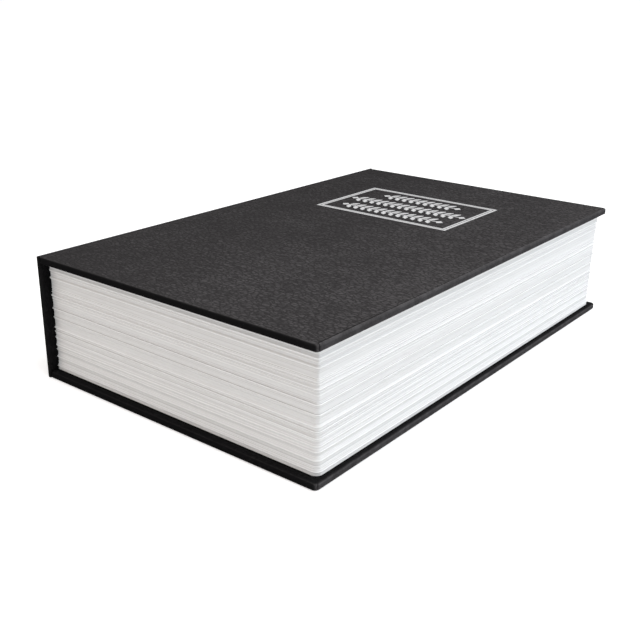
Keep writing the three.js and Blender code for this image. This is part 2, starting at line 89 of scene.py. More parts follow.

# %% [markdown]
# ## Camera
# The photograph was taken from the near corner of the tail and the fore-edge, a little above the
# book, with a normal lens. The place of the camera was worked out from the book's corners, which
# are known in millimetres. It could be set by eye, but here it is fitted.

# %% Camera
CAMERA_PLACE = Vector((242.7, -333.8, 168.3)) * MM
CAMERA_AIM = Vector((17.5, -45.4, 27.5)) * MM
CAMERA_ROLL = math.radians(0.80)
CAMERA_LENS = 51.4  # on a 36 mm sensor

bpy.ops.object.camera_add(location=CAMERA_PLACE)
camera = bpy.context.object
camera.name = "camera"
camera.data.lens = CAMERA_LENS
camera.data.sensor_width = 36
camera.data.clip_start = 0.01
camera.rotation_mode = "QUATERNION"
towards = (CAMERA_AIM - CAMERA_PLACE).to_track_quat("-Z", "Y")
camera.rotation_quaternion = towards @ Quaternion((0, 0, 1), CAMERA_ROLL)
bpy.context.scene.camera = camera
print("camera is", round((CAMERA_AIM - CAMERA_PLACE).length, 3), "m from its aim")

# %% [markdown]
# ## Nodes in a few lines
# A material in Blender is a small network, and most lines of a script that builds one are links.
# These helpers keep each network readable. A socket knows which tree it is in, so a helper that
# is given a socket adds its node there, links it, and gives back the new output.
#
# A group is an effect that several materials share, such as grain or worn edges.


# %% Helpers for materials
def feed(socket, value):
    """Links a socket to the output of another node, or sets it to a plain value."""
    if isinstance(value, bpy.types.NodeSocket):
        socket.id_data.links.new(value, socket)
    elif socket.type == "RGBA":
        socket.default_value = (*value, 1.0)
    else:
        socket.default_value = value


def set_inputs(node, **values):
    for name, value in values.items():
        feed(node.inputs[name.replace("_", " ")], value)
    return node


def add_node(tree, kind, *fed, **settings):
    """Adds a node. Its first inputs are fed in turn, and a name with a capital is an input too."""
    node = tree.nodes.new("ShaderNode" + kind)
    for name, value in settings.items():
        if name[0].isupper():
            set_inputs(node, **{name: value})
        else:
            setattr(node, name, value)
    for socket, value in zip(node.inputs, fed):
        feed(socket, value)
    return node


def start_material(name, **values):
    material = bpy.data.materials.new(name)
    material.use_nodes = True
    tree = material.node_tree
    return material, tree, set_inputs(tree.nodes["Principled BSDF"], **values)


def start_group(name, inputs, outputs):
    """Starts a group, whose inputs and outputs are given as labels with their kinds."""
    group = bpy.data.node_groups.new(name, "ShaderNodeTree")
    for side, sockets in (("INPUT", inputs), ("OUTPUT", outputs)):
        for label, kind in sockets.items():
            group.interface.new_socket(label, in_out=side, socket_type="NodeSocket" + kind)
    return group, group.nodes.new("NodeGroupInput").outputs, group.nodes.new("NodeGroupOutput")


def use_group(tree, group, **values):
    return add_node(tree, "Group", node_tree=group, **values).outputs


def maths(operation, *values, clamp=False):
    tree = next(value.id_data for value in values if isinstance(value, bpy.types.NodeSocket))
    return add_node(tree, "Math", *values, operation=operation, use_clamp=clamp).outputs[0]


times, plus, most = (partial(maths, operation) for operation in ("MULTIPLY", "ADD", "MAXIMUM"))


def vectors(operation, *values, **settings):
    return add_node(values[0].id_data, "VectorMath", *values, operation=operation, **settings).outputs[0]


def stretched(place, stretch):
    return vectors("MULTIPLY", place, stretch)


def ramp(value, low, high, new_low=0.0, new_high=1.0, kind="SMOOTHSTEP"):
    ends = {"From_Min": low, "From_Max": high, "To_Min": new_low, "To_Max": new_high}
    return add_node(value.id_data, "MapRange", value, interpolation_type=kind, **ends).outputs[0]


def coated(colour, *coats):
    """Lays coats over a colour, each given as its mask and its own colour."""
    for mask, coat in coats:
        node = add_node(mask.id_data, "Mix", mask, data_type="RGBA")
        # a Mix node has sockets for every kind of value, so the colour ones are looked up
        sockets = {socket.identifier: socket for socket in (*node.inputs, *node.outputs)}
        feed(sockets["A_Color"], colour)
        feed(sockets["B_Color"], coat)
        colour = sockets["Result_Color"]
    return colour


def object_place(tree):
    return add_node(tree, "TexCoord").outputs["Object"]


def noise_value(place, size, **settings):
    return add_node(place.id_data, "TexNoise", place, Scale=1 / size, **settings).outputs["Fac"]


def add_bump(height, distance, strength=1.0, **settings):
    bump = add_node(height.id_data, "Bump", Height=height, Distance=distance, Strength=strength, **settings)
    return bump.outputs["Normal"]


print("material helpers are ready")

# %% [markdown]
# ## Effects that several finishes share
# Three effects come back on many pieces here.
#
# - Leather grain: pebbles with creases between them. A Voronoi texture gives cells like these,
#   and the distance to a cell's edge becomes the height.
# - Box edges: hands rub a box where two of its faces meet, and on the covering this mask also
#   carries a painted highlight. The distance of a point to the faces of a box is simple arithmetic
#   on its object coordinates, so this mask needs no texture painting. The same sums tell where the
#   narrow upright sides are, and which of them are the two ends, which the covering paints in shade.
# - Turned edges: on sheet metal the Bevel node rounds an edge for the light only, and where its
#   normal differs from the true one, the coat is thin or rubbed.


# %% Leather grain group
def make_grain_group():
    group, given, result = start_group(
        "leather_grain",
        {"Place": "Vector", "Size": "Float", "Drift": "Float"},
        {"Height": "Float", "Crease": "Float"},
    )
    finer = vectors("SCALE", given["Place"], Scale=maths("DIVIDE", 1.0, given["Size"]))
    bend = add_node(group, "TexNoise", finer, Scale=0.55, Detail=2.0)
    bent = vectors("ADD", finer, vectors("SCALE", bend.outputs["Color"], Scale=given["Drift"]))
    pebble, wrinkle = (
        add_node(group, "TexVoronoi", bent, feature="DISTANCE_TO_EDGE", Scale=scale).outputs["Distance"]
        for scale in (1.0, 2.6)
    )
    height = plus(times(ramp(pebble, 0.0, 0.28), 0.72), times(ramp(wrinkle, 0.0, 0.22), 0.28))
    set_inputs(result, Height=height, Crease=ramp(pebble, 0.0, 0.09, 1.0, 0.0))
    return group


grain_group = make_grain_group()
print("grain group has", len(grain_group.nodes), "nodes")


# %% Box edge group
def make_box_edge_group():
    group, given, result = start_group(
        "box_edges",
        {"Place": "Vector", "Centre": "Vector", "Half": "Vector", "Width": "Float"},
        {"Mask": "Float", "Side": "Float", "End": "Float"},
    )
    folded = vectors("ABSOLUTE", vectors("SUBTRACT", given["Place"], given["Centre"]))
    to_face = add_node(group, "SeparateXYZ", vectors("SUBTRACT", given["Half"], folded)).outputs
    by_x, by_y, by_z = (
        maths("SUBTRACT", 1.0, maths("DIVIDE", to_face[axis], given["Width"]), clamp=True) for axis in "XYZ"
    )
    mask = most(times(by_x, by_y), most(times(by_y, by_z), times(by_x, by_z)))
    set_inputs(result, Mask=mask, Side=most(by_x, by_y), End=by_y)
    return group


box_edge_group = make_box_edge_group()
print("box edge group has", len(box_edge_group.nodes), "nodes")


# %% Turned edge group
def make_turned_edge_group():
    outputs = {"Normal": "Vector", "Mask": "Float"}
    group, given, result = start_group("turned_edges", {"Radius": "Float"}, outputs)
    rounded = add_node(group, "Bevel", samples=6, Radius=given["Radius"]).outputs["Normal"]
    true = add_node(group, "NewGeometry").outputs["Normal"]
    turned = add_node(group, "VectorMath", rounded, true, operation="DOT_PRODUCT").outputs["Value"]
    set_inputs(result, Normal=rounded, Mask=ramp(turned, 0.75, 0.98, 1.0, 0.0))
    return group


turned_edge_group = make_turned_edge_group()
print("turned edge group has", len(turned_edge_group.nodes), "nodes")

# %% [markdown]
# ## Black leather-grained covering paper
# The case of a cheap hardback is covered with paper that is embossed like leather and varnished.
# It is nearly black, but it never renders as plain black: the pebbles are painted lighter, partly
# in their own grey and partly as a painted sheen, and the creases stay dark. The grain is a little
# over one millimetre and drawn out from the spine to the fore-edge, so it shows as fine wrinkles
# from reading distance. The cover is painted lighter towards the fore-edge, as a painted pool of
# light. That edge of the boards is rubbed, because a hand opens the book there, and its lighter
# colour is also a painted highlight. The paper stretched over the ends at head and tail, turned to
# the inside or pressed into a fold is painted near black, as painted shade.
#
# Both covers and the spine use this recipe, each with its own box, so that the rubbed edges with
# their painted highlight, and the painted shade on the ends, follow its real outline.


# %% Leatherette
LEATHER_DARK = (0.0265, 0.0250, 0.0257)
# pebble tops: their own grey with a painted sheen
LEATHER_PEBBLE_AND_SHEEN = (0.0710, 0.0674, 0.0692)
# edge wear along the fore-edge, which is also a painted highlight where the light falls
LEATHER_WEAR_AND_HIGHLIGHT = (0.125, 0.120, 0.124)
# painted shade on the ends, the turned-in inside and the fold lines
LEATHER_PAINTED_SHADE = (0.0050, 0.0050, 0.0055)
GRAIN_SIZE = 1.35 * MM
GRAIN_DEPTH = 0.24 * MM
WRINKLE_SIZE = 1.7 * MM
EDGE_BAND_WIDTH = 1.5 * MM
HANDLED_AND_LIT_WIDTH = 12 * MM
# painted light: how far in from the fore-edge the cover is painted lighter
PAINTED_LIGHT_WIDTH = 140 * MM
INSIDE_DEPTH = 0.6 * MM
EVEN = Vector((1, 1, 1))
ALONG_X = Vector((1, 0, 0))
ALONG_Z = Vector((0, 0, 1))


def make_leatherette(name, low, high, inner_axis, inner_level, drawn=ALONG_X):
    """Covering for one box. Its inner side lies at a level of one axis, and its grain is drawn out."""
    material, tree, shader = start_material(name, Specular_IOR_Level=0.002)
    place = object_place(tree)
    grain = use_group(
        tree, grain_group, Place=stretched(place, EVEN - 0.5 * drawn), Size=GRAIN_SIZE, Drift=1.5
    )
    centre, half = (low + high) / 2, (high - low) / 2
    edges = use_group(tree, box_edge_group, Place=place, Centre=centre, Half=half, Width=EDGE_BAND_WIDTH)
    narrow = edges["End" if inner_axis == "X" else "Side"]  # the spine's broad face is upright
    spot = add_node(tree, "SeparateXYZ", place).outputs
    cloud = noise_value(place, 38 * MM, Detail=3.0)
    fibre = noise_value(place, 0.35 * MM, Detail=3.0, Roughness=0.6)
    folded = noise_value(stretched(place, EVEN - 0.7 * drawn), WRINKLE_SIZE, Detail=3.0, Distortion=0.8)

    wrinkled = ramp(ramp(folded, 0.34, 0.66), 0.0, 1.0, 0.5, 1.1)
    flattened = ramp(narrow, 0.5, 0.95, 1.0, 0.25)
    pressed = times(times(grain["Height"], wrinkled), flattened)
    # painted light: the cover is painted lighter towards the fore-edge
    painted_light_to_fore_edge = ramp(spot["X"], high.x - PAINTED_LIGHT_WIDTH, high.x, 0.62, 1.3)
    # the pebble tops are painted lighter, partly their own tone and partly a painted sheen
    tone = times(pressed, times(ramp(cloud, 0.3, 0.7, 0.8, 1.15), painted_light_to_fore_edge))

    # worn edges and side faces towards the fore-edge: real wear together with a painted highlight
    scuffed = ramp(noise_value(place, 4 * MM, Detail=4.0), 0.35, 0.7, 0.45, 1.0)
    handled_and_lit = ramp(spot["X"], high.x - HANDLED_AND_LIT_WIDTH, high.x - MM, 0.2, 1.0)
    edge_wear_and_highlight = ramp(most(edges["Mask"], times(narrow, 0.35)), 0.10, 0.55)
    wear_and_painted_highlight = times(edge_wear_and_highlight, times(scuffed, handled_and_lit))

    # painted shade: the inner side, the ends at head and tail and the fold lines are painted near black
    to_inside = maths("ABSOLUTE", maths("SUBTRACT", spot[inner_axis], inner_level))
    inside = ramp(to_inside, 0.0, INSIDE_DEPTH, 0.88, 0.0)
    in_fold = add_node(tree, "Attribute", attribute_name="fold").outputs["Fac"]
    painted_shade = most(most(ramp(edges["End"], 0.5, 0.95, 0.0, 0.9), inside), in_fold)

    coats = (tone, LEATHER_PEBBLE_AND_SHEEN), (times(wear_and_painted_highlight, 0.5), LEATHER_WEAR_AND_HIGHLIGHT), (painted_shade, LEATHER_PAINTED_SHADE)
    sheen = plus(ramp(pressed, 0.2, 1.0, 0.66, 0.46), ramp(cloud, 0.3, 0.7, 0.05, -0.05))
    set_inputs(
        shader,
        Base_Color=coated(LEATHER_DARK, *coats),
        Roughness=maths("SUBTRACT", sheen, times(wear_and_painted_highlight, 0.1)),
        Normal=add_bump(plus(pressed, times(fibre, 0.25)), GRAIN_DEPTH),
    )
    return material


print("leatherette has pebbles of", GRAIN_SIZE / MM, "mm")

# %% [markdown]
# ## White page plastic
# The pages are one matt white moulding. Its lines are modelled as real geometry further on, so
# the material only adds what is too fine for that: hair lines that run along the pages and a faint
# unevenness. It also paints light and shade onto the lines: a painted highlight on the ridges and
# painted shade in the grooves and gaps. Both read the attribute page_highlight_and_shade, which the
# modelling step writes on every point, because a groove follows the surface and not the coordinates.

# %% Page plastic
# painted highlight on the ridge crests
PAGE_CREST_HIGHLIGHT = (0.96, 0.96, 0.96)
PAGE_WHITE = (0.80, 0.80, 0.80)
PAGE_SHADE = (0.74, 0.73, 0.72)
# painted shade in the grooves and gaps
PAGE_GROOVE_SHADE = (0.33, 0.32, 0.32)


def make_page_plastic():
    material, tree, shader = start_material("page_plastic", Specular_IOR_Level=0.35)
    place = object_place(tree)
    # depth here is the shade value of each point: below FACE_SHADE a painted highlight, above it painted
    # shade
    depth = add_node(tree, "Attribute", attribute_name="page_highlight_and_shade").outputs["Fac"]
    hair = noise_value(stretched(place, (0.012, 0.012, 1.0)), 0.13 * MM, Detail=3.0)
    band = noise_value(stretched(place, (0.02, 0.02, 1.0)), 1.6 * MM)
    cloud = noise_value(place, 30 * MM)
    coats = [
        (ramp(band, 0.35, 0.75, 0.0, 0.28), PAGE_SHADE),
        (ramp(hair, 0.52, 0.85, 0.0, 0.32), PAGE_SHADE),
        (ramp(cloud, 0.45, 0.8, 0.0, 0.10), PAGE_SHADE),
        (ramp(depth, 0.0, 0.2, 1.0, 0.0), PAGE_CREST_HIGHLIGHT),
        (ramp(depth, 0.2, 1.0, kind="LINEAR"), PAGE_GROOVE_SHADE),
    ]
    set_inputs(
        shader,
        Base_Color=coated(PAGE_WHITE, *coats),
        Roughness=ramp(hair, 0.3, 0.8, 0.42, 0.58),
        Normal=add_bump(plus(hair, times(band, 0.8)), 0.035 * MM, 0.6),
    )
    return material


page_plastic = make_page_plastic()
print("page plastic reads the attribute page_highlight_and_shade")

# %% [markdown]
# ## Paint and metal
# The steel box is powder coated: black, slightly pimpled like orange peel, and thin on the
# sheared edges, where a little steel shows. The lock and the fasteners are bright metal. Plain
# metal looks like a mirror in a studio, so each gets its own fine disorder: zinc plate has
# cloudy patches and fine scratches, chrome only faint smears, and brass darkens in patches.


# %% Powder coat
COAT_DARK = (0.014, 0.014, 0.016)
COAT_LIGHT = (0.024, 0.024, 0.026)
BARE_STEEL = (0.20, 0.20, 0.21)


def make_powder_coat():
    material, tree, shader = start_material("powder_coat", Specular_IOR_Level=0.5)
    place = object_place(tree)
    edges = use_group(tree, turned_edge_group, Radius=0.25 * MM)
    peel = noise_value(place, 0.9 * MM, Detail=1.5)
    cloud = noise_value(place, 25 * MM, Detail=3.0)
    bare = times(edges["Mask"], ramp(noise_value(place, 1.4 * MM, Detail=4.0), 0.52, 0.66))
    set_inputs(
        shader,
        Base_Color=coated(COAT_DARK, (cloud, COAT_LIGHT), (times(bare, 0.5), BARE_STEEL)),
        Roughness=ramp(cloud, 0.3, 0.7, 0.36, 0.46),
        Normal=add_bump(peel, 0.05 * MM, 0.5, Normal=edges["Normal"]),
    )
    return material


powder_coat = make_powder_coat()
print("made", powder_coat.name)


# %% Bright metals
def make_metal(name, bright, dull, smooth, rough, stretch):
    material, tree, shader = start_material(name, Metallic=1.0)
    place = object_place(tree)
    edges = use_group(tree, turned_edge_group, Radius=0.15 * MM)
    cloud = noise_value(place, 3.5 * MM, Detail=4.0, Roughness=0.6)
    line = noise_value(stretched(place, (1.0, stretch, 1.0)), 0.16 * MM, Detail=3.0)
    set_inputs(
        shader,
        Base_Color=coated(dull, (ramp(cloud, 0.3, 0.7), bright)),
        Roughness=ramp(plus(times(cloud, 0.5), times(line, 0.5)), 0.3, 0.7, smooth, rough),
        Normal=add_bump(line, 0.01 * MM, 0.4, Normal=edges["Normal"]),
    )
    return material


zinc_plate = make_metal("zinc_plate", (0.62, 0.62, 0.63), (0.46, 0.47, 0.48), 0.26, 0.44, 0.15)
chrome_plate = make_metal("chrome_plate", (0.82, 0.82, 0.83), (0.74, 0.74, 0.76), 0.08, 0.18, 0.3)
plain_brass = make_metal("plain_brass", (0.66, 0.49, 0.20), (0.48, 0.34, 0.13), 0.20, 0.36, 0.2)
print("made", zinc_plate.name, chrome_plate.name, plain_brass.name)

# %% [markdown]
# ## Board, lining paper and foil
# Greyboard is pressed waste paper, so it shows fibres and specks of every grey. The lining is a
# plain black paper that is glued over the turned-in covering. Paper has a fine tooth, and its
# tone is even, so a little fibre noise is all that it needs. The silver foil is pressed into the
# leather grain, so it uses the same group and breaks up a little in the creases.


# %% Board and paper
def make_paper(name, light, dark, fibre_size, roughness):
    material, tree, shader = start_material(name, Specular_IOR_Level=0.2)
    place = object_place(tree)
    fibre = noise_value(stretched(place, (1.0, 0.35, 1.0)), fibre_size, Detail=5.0, Roughness=0.7)
    mixed = plus(times(fibre, 0.7), times(noise_value(place, fibre_size * 6), 0.3))
    set_inputs(
        shader,
        Base_Color=coated(dark, (ramp(mixed, 0.35, 0.65), light)),
        Roughness=ramp(fibre, 0.3, 0.7, roughness, roughness + 0.1),
        Normal=add_bump(fibre, 0.04 * MM, 0.6),
    )
    return material


raw_board = make_paper("raw_board", (0.33, 0.30, 0.26), (0.20, 0.18, 0.155), 0.5 * MM, 0.85)
black_lining = make_paper("black_lining", (0.021, 0.021, 0.022), (0.013, 0.013, 0.014), 0.3 * MM, 0.72)
print("made", raw_board.name, black_lining.name)


# %% Silver foil
FOIL_THIN = (0.44, 0.44, 0.445)
FOIL_BRIGHT = (0.66, 0.66, 0.67)
FOIL_CREASE = (0.10, 0.10, 0.105)


def make_foil():
    material, tree, shader = start_material("silver_foil", Metallic=0.2, Specular_IOR_Level=0.3)
    place = object_place(tree)
    grain = use_group(tree, grain_group, Place=stretched(place, (1.0, 0.78, 1.0)), Size=GRAIN_SIZE, Drift=0.8)
    full = ramp(noise_value(place, 0.5 * MM, Detail=3.0), 0.3, 0.6)
    set_inputs(
        shader,
        Base_Color=coated(FOIL_THIN, (full, FOIL_BRIGHT), (times(grain["Crease"], 0.35), FOIL_CREASE)),
        Roughness=ramp(full, 0.0, 1.0, 0.55, 0.38),
        Normal=add_bump(grain["Height"], 0.03 * MM, 0.6),
    )
    return material


silver_foil = make_foil()
print("made", silver_foil.name)

# %% [markdown]
# ## Modelling by hand, in code
# Every new piece starts as a primitive at its size and place. Faces and edges are then picked by
# where they lie or which way they face, as one would click them, and shaped with the edit mode's
# own operators. These helpers do the clicking, and the last one hands a finished piece over: its
# material, the body that it moves with, and the solid that it stands for.


# %% Helpers for modelling
TINY = 0.01 * MM
MERGE_REACH = 0.001 * MM


def deselect_all():
    bpy.ops.object.select_all(action="DESELECT")


def take(piece):
    deselect_all()
    piece.select_set(True)
    bpy.context.view_layer.objects.active = piece


def settle(name, size=None):
    """Names the new piece and applies its place, turn and size, which leaves it at the origin."""
    piece = bpy.context.object
    piece.name = piece.data.name = name
    if size:
        piece.scale = size
    bpy.ops.object.transform_apply(location=True, rotation=True, scale=True)
    return piece


def start_box(name, low, high):
    deselect_all()
    low, high = Vector(low), Vector(high)
    bpy.ops.mesh.primitive_cube_add(size=1, location=(low + high) / 2)
    return settle(name, high - low)


@contextmanager
def editing(piece):
    """Edit mode on one piece, with everything selected at first."""
    take(piece)
    bpy.ops.object.mode_set(mode="EDIT")
    bpy.ops.mesh.select_all(action="SELECT")
    yield
    bpy.ops.object.mode_set(mode="OBJECT")


def pick(piece, kind, wanted):
    """In edit mode: selects the faces, edges or points for which wanted is true."""
    bpy.ops.mesh.select_mode(type=kind)
    bpy.ops.mesh.select_all(action="DESELECT")
    mesh = bmesh.from_edit_mesh(piece.data)
    items = {"FACE": mesh.faces, "EDGE": mesh.edges, "VERT": mesh.verts}[kind]
    chosen = [item for item in items if wanted(item)]
    for item in chosen:
        item.select_set(True)
    mesh.select_flush_mode()
    bmesh.update_edit_mesh(piece.data)
    return len(chosen)


def near(value, goal):
    return abs(value - goal) < 2 * TINY


def middle(edge):
    return (edge.verts[0].co + edge.verts[1].co) / 2


def upright(edge):
    step = edge.verts[1].co - edge.verts[0].co
    return abs(step.z) > 0.999 * step.length


def level(edge):
    return near(edge.verts[0].co.z, edge.verts[1].co.z)


def facing_up(face, sign=1):
    return face.normal.z * sign > 0.99


def bevel_edges(piece, wanted, offset, segments):
    with editing(piece):
        pick(piece, "EDGE", wanted)
        bpy.ops.mesh.bevel(offset=offset, segments=segments)


def extrude_up(distance):
    bpy.ops.mesh.extrude_region_move(TRANSFORM_OT_translate={"value": (0, 0, distance)})


def finish_with(piece, kind, **settings):
    """Adds one modifier with its settings and applies it."""
    take(piece)
    made = piece.modifiers.new(kind.title(), kind)
    for name, value in settings.items():
        setattr(made, name, value)
    bpy.ops.object.modifier_apply(modifier=made.name)


def recalculate_normals(piece):
    with editing(piece):
        bpy.ops.mesh.remove_doubles(threshold=MERGE_REACH)
        bpy.ops.mesh.normals_make_consistent(inside=False)


def smooth_by_angle(piece, degrees=35, keep_flats=False):
    """Shades smooth. Large faces that are kept flat leave all the turning to their bevels."""
    take(piece)
    bpy.ops.object.shade_smooth_by_angle(angle=math.radians(degrees))
    if keep_flats:
        finish_with(piece, "WEIGHTED_NORMAL", keep_sharp=True, weight=100)


def dress(piece, material, body=None, node=None):
    piece.data.materials.clear()
    piece.data.materials.append(material)
    if body:
        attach(piece, body)
    if node:
        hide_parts(node)
    print(piece.name, "has", len(piece.data.polygons), "faces")


print("modelling helpers are ready")

# %% [markdown]
# ## Covers
# A bookbinder cuts the covering paper larger than the board, glues it down and folds the rest
# over the edges, with the corners mitred. So a cover is a thin shell round its board: open at
# the joint, with a turned-in strip on the other three sides of the inner face.
#
# A box gives the outside. Insetting its inner face draws the strip with its mitres, deleting the
# middle leaves the window that the lining closes, and bevels round the edges as soft paper does.
# At each corner the folded paper of the fore-edge ends in a short upright line on the rounding,
# which is pressed in with a bevel.
# The box starts one strip too long, and a bisect takes that off at the joint, because no paper is
# folded in there. Solidify then gives the paper its thickness, inwards.

# %% Cover shells
PAPER = 0.3 * MM
TURN_IN = 15 * MM
CORNER_ROUND = 2.1 * MM
EDGE_ROUND = 0.85 * MM
FOLD_ANGLE = math.radians(22.5)  # how far round the corner the fore-edge paper reaches
FOLD_HALF = 0.2 * MM
FOLD_DEPTH = 0.24 * MM
FOLD_SLACK = 0.4 * FOLD_HALF
FOLD_START = CORNER_ROUND - EDGE_ROUND
FOIL_DEPTH = 0.03 * MM  # how far the pressed foil panel is below the highest point

wrap_low, wrap_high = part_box("front_wrap")
back_low, back_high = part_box("back_wrap")
spine_low, spine_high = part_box("spine_wrap")
joint_end = wrap_low.x


def press_fold(piece, face_x, end_y):
    """The line where the corner's folded paper ends, pressed into the rounded corner."""
    side = math.copysign(1, end_y)
    centre = Vector((face_x - CORNER_ROUND, end_y - side * CORNER_ROUND, 0))
    outwards = Vector((math.cos(FOLD_ANGLE), side * math.sin(FOLD_ANGLE), 0))
    across = Vector((-outwards.y, outwards.x, 0))

    def at_corner(point):
        past = point.co - centre
        return past.x > -TINY and past.y * side > -TINY

    def on_line(point, slack, least=0.0):
        past = point.co - centre
        return at_corner(point) and abs(past.dot(across)) < slack and past.dot(outwards) > least

    pick(piece, "FACE", lambda f: all(at_corner(v) for v in f.verts))
    bpy.ops.mesh.bisect(plane_co=centre, plane_no=across)
    pick(piece, "EDGE", lambda e: all(on_line(v, TINY) for v in e.verts))
    bpy.ops.mesh.bevel(offset=FOLD_HALF, segments=2)
    count = pick(piece, "VERT", lambda v: on_line(v, FOLD_SLACK, FOLD_START))
    bpy.ops.transform.translate(value=-outwards * FOLD_DEPTH)
    print("fold line of", count, "points")


def mark_folds(piece, high):
    """Writes which points lie in a fold line, where the covering's material paints shade."""
    values = piece.data.attributes.new("fold", "FLOAT", "POINT")
    for point in piece.data.vertices:
        past = Vector((point.co.x - high.x, abs(point.co.y) - high.y)) + Vector((1, 1)) * CORNER_ROUND
        off_line = abs(past.y * math.cos(FOLD_ANGLE) - past.x * math.sin(FOLD_ANGLE))
        if min(past) > 0 and off_line < FOLD_SLACK and past.length > FOLD_START - FOLD_DEPTH:
            values.data[point.index].value = 1.0


def make_cover_shell(name, low, high, inner_side):
    piece = start_box(name, (low.x - TURN_IN, low.y, low.z), high)
    inner_level = high.z if inner_side > 0 else low.z
    with editing(piece):
        pick(piece, "FACE", lambda f: facing_up(f, inner_side))
        bpy.ops.mesh.inset(thickness=TURN_IN)
        bpy.ops.mesh.delete(type="FACE")
    bevel_edges(piece, lambda e: upright(e) and near(middle(e).x, high.x), CORNER_ROUND, 6)

    def on_outline(edge):
        window = near(middle(edge).z, inner_level) and len(edge.link_faces) < 2
        beside_upright = any(abs(face.normal.z) < 0.01 for face in edge.link_faces)
        return level(edge) and beside_upright and not window

    bevel_edges(piece, on_outline, EDGE_ROUND, 4)
    with editing(piece):
        for side in (-1, 1):
            press_fold(piece, high.x, side * high.y)
        bpy.ops.mesh.select_all(action="SELECT")
        bpy.ops.mesh.bisect(plane_co=(low.x, 0, 0), plane_no=(1, 0, 0), clear_inner=True)
    recalculate_normals(piece)
    finish_with(piece, "SOLIDIFY", thickness=PAPER, offset=-1, use_quality_normals=True)
    mark_folds(piece, high)
    smooth_by_angle(piece, keep_flats=True)
    return piece


front_shell = make_cover_shell("front_covering", wrap_low, wrap_high - Vector((0, 0, FOIL_DEPTH)), -1)
leather_front = make_leatherette("leatherette_front", wrap_low, wrap_high, "Z", wrap_low.z)
dress(front_shell, leather_front, "front_cover", "front_wrap")

board_low = Vector((joint_end, back_low.y, back_low.z))
back_shell = make_cover_shell("back_covering", board_low, back_high, 1)
leather_back = make_leatherette("leatherette_back", board_low, back_high, "Z", back_high.z)
dress(back_shell, leather_back, "book", "back_wrap")

# %% [markdown]
# ## Boards
# A board's corners are rounded a little more than its covering, which leaves room for the folded
# paper. The board is a box with its two free corners and then its outline bevelled.

# %% Boards
BOARD_CORNER = 2.8 * MM
BOARD_EDGE = 0.4 * MM


def make_board(name, body):
    low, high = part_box(name)
    piece = start_box(name + "_cut", low, high)
    bevel_edges(piece, lambda e: upright(e) and near(middle(e).x, high.x), BOARD_CORNER, 6)
    bevel_edges(piece, lambda e: level(e) and middle(e).x > low.x + MM, BOARD_EDGE, 2)
    smooth_by_angle(piece, keep_flats=True)
    dress(piece, raw_board, body, name)


make_board("front_board", "front_cover")
make_board("back_board", "book")

# %% [markdown]
# ## Spine and joints
# The spine is a narrow board in the same covering. Its paper runs on into both covers. At the
# back the joint stays closed, so a plain strip is enough. At the front it is the hinge of the
# book: a free strip of paper, pressed into a shallow line, that folds over when the cover opens.
# That strip is made in its closed place and given no body. The black lining runs from there over
# the inside of the front board.

# %% Spine
SPINE_CORNER = 0.95 * MM


def make_spine():
    inner_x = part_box("spine_board")[1].x + PAPER
    piece = start_box("spine_covering", spine_low, (inner_x, spine_high.y, spine_high.z))
    bevel_edges(piece, lambda e: near(middle(e).x, spine_low.x), SPINE_CORNER, 5)
    finish_with(piece, "SOLIDIFY", thickness=PAPER, offset=-1, use_even_offset=True)
    smooth_by_angle(piece, keep_flats=True)
    return piece


spine_shell = make_spine()
spine_inside = max(v.co.x for v in spine_shell.data.vertices)
leather_spine = make_leatherette("leatherette_spine", spine_low, spine_high, "X", spine_inside, ALONG_Z)
dress(spine_shell, leather_spine, "book", "spine_wrap")

# %% Joint strips
JOINT_DIP = 0.30 * MM
STRIP_STEPS = (8, 24)  # across the joint and along it
STRIP_INSET = 0.5 * MM


def make_joint_strip(name, outer_level, upwards):
    """A strip across the joint, dipped in the middle, with its outer face at a level."""
    deselect_all()
    width = joint_end - spine_inside
    length = wrap_high.y - wrap_low.y - 2 * STRIP_INSET
    centre = ((joint_end + spine_inside) / 2, 0, outer_level)
    across, along = STRIP_STEPS
    bpy.ops.mesh.primitive_grid_add(x_subdivisions=across, y_subdivisions=along, size=1, location=centre)
    piece = settle(name, (width, length, 1))
    for point in piece.data.vertices:
        share = (point.co.x - spine_inside) / width
        point.co.z -= upwards * JOINT_DIP * math.sin(math.pi * share) ** 2
    finish_with(piece, "SOLIDIFY", thickness=PAPER, offset=-upwards)
    smooth_by_angle(piece)
    return piece


crease = make_joint_strip("front_joint", wrap_high.z - FOIL_DEPTH, 1)
dress(crease, leather_front)
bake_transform(crease)
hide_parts("cover_crease")

# %% Lining and back joint
END_PAPER = 0.2 * MM
LINING_GAP = 0.1 * MM
PAPER_ROUND = 0.4  # a cut paper edge is rounded by this share of its thickness


def make_lining():
    """The lining sheet, which lies over the turned-in strips and sinks in between them."""
    low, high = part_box("front_lining")
    sheet_level = high.z - PAPER
    window_x, window_y = wrap_high.x - TURN_IN - LINING_GAP, wrap_high.y - TURN_IN - LINING_GAP
    piece = start_box("lining_sheet", (joint_end, low.y, low.z), (high.x, high.y, sheet_level))

    def over_window(face):
        spot = face.calc_center_median()
        return facing_up(face) and spot.x < window_x and abs(spot.y) < window_y

    with editing(piece):
        for cut in (Vector((window_x, 0, 0)), Vector((0, window_y, 0)), Vector((0, -window_y, 0))):
            pick(piece, "FACE", facing_up)
            bpy.ops.mesh.bisect(plane_co=cut, plane_no=cut.normalized())
        pick(piece, "FACE", over_window)
        extrude_up(PAPER)
    round_off = PAPER_ROUND * (sheet_level - low.z)
    bevel_edges(piece, lambda e: near(middle(e).z, low.z) and not near(middle(e).x, joint_end), round_off, 2)
    return piece


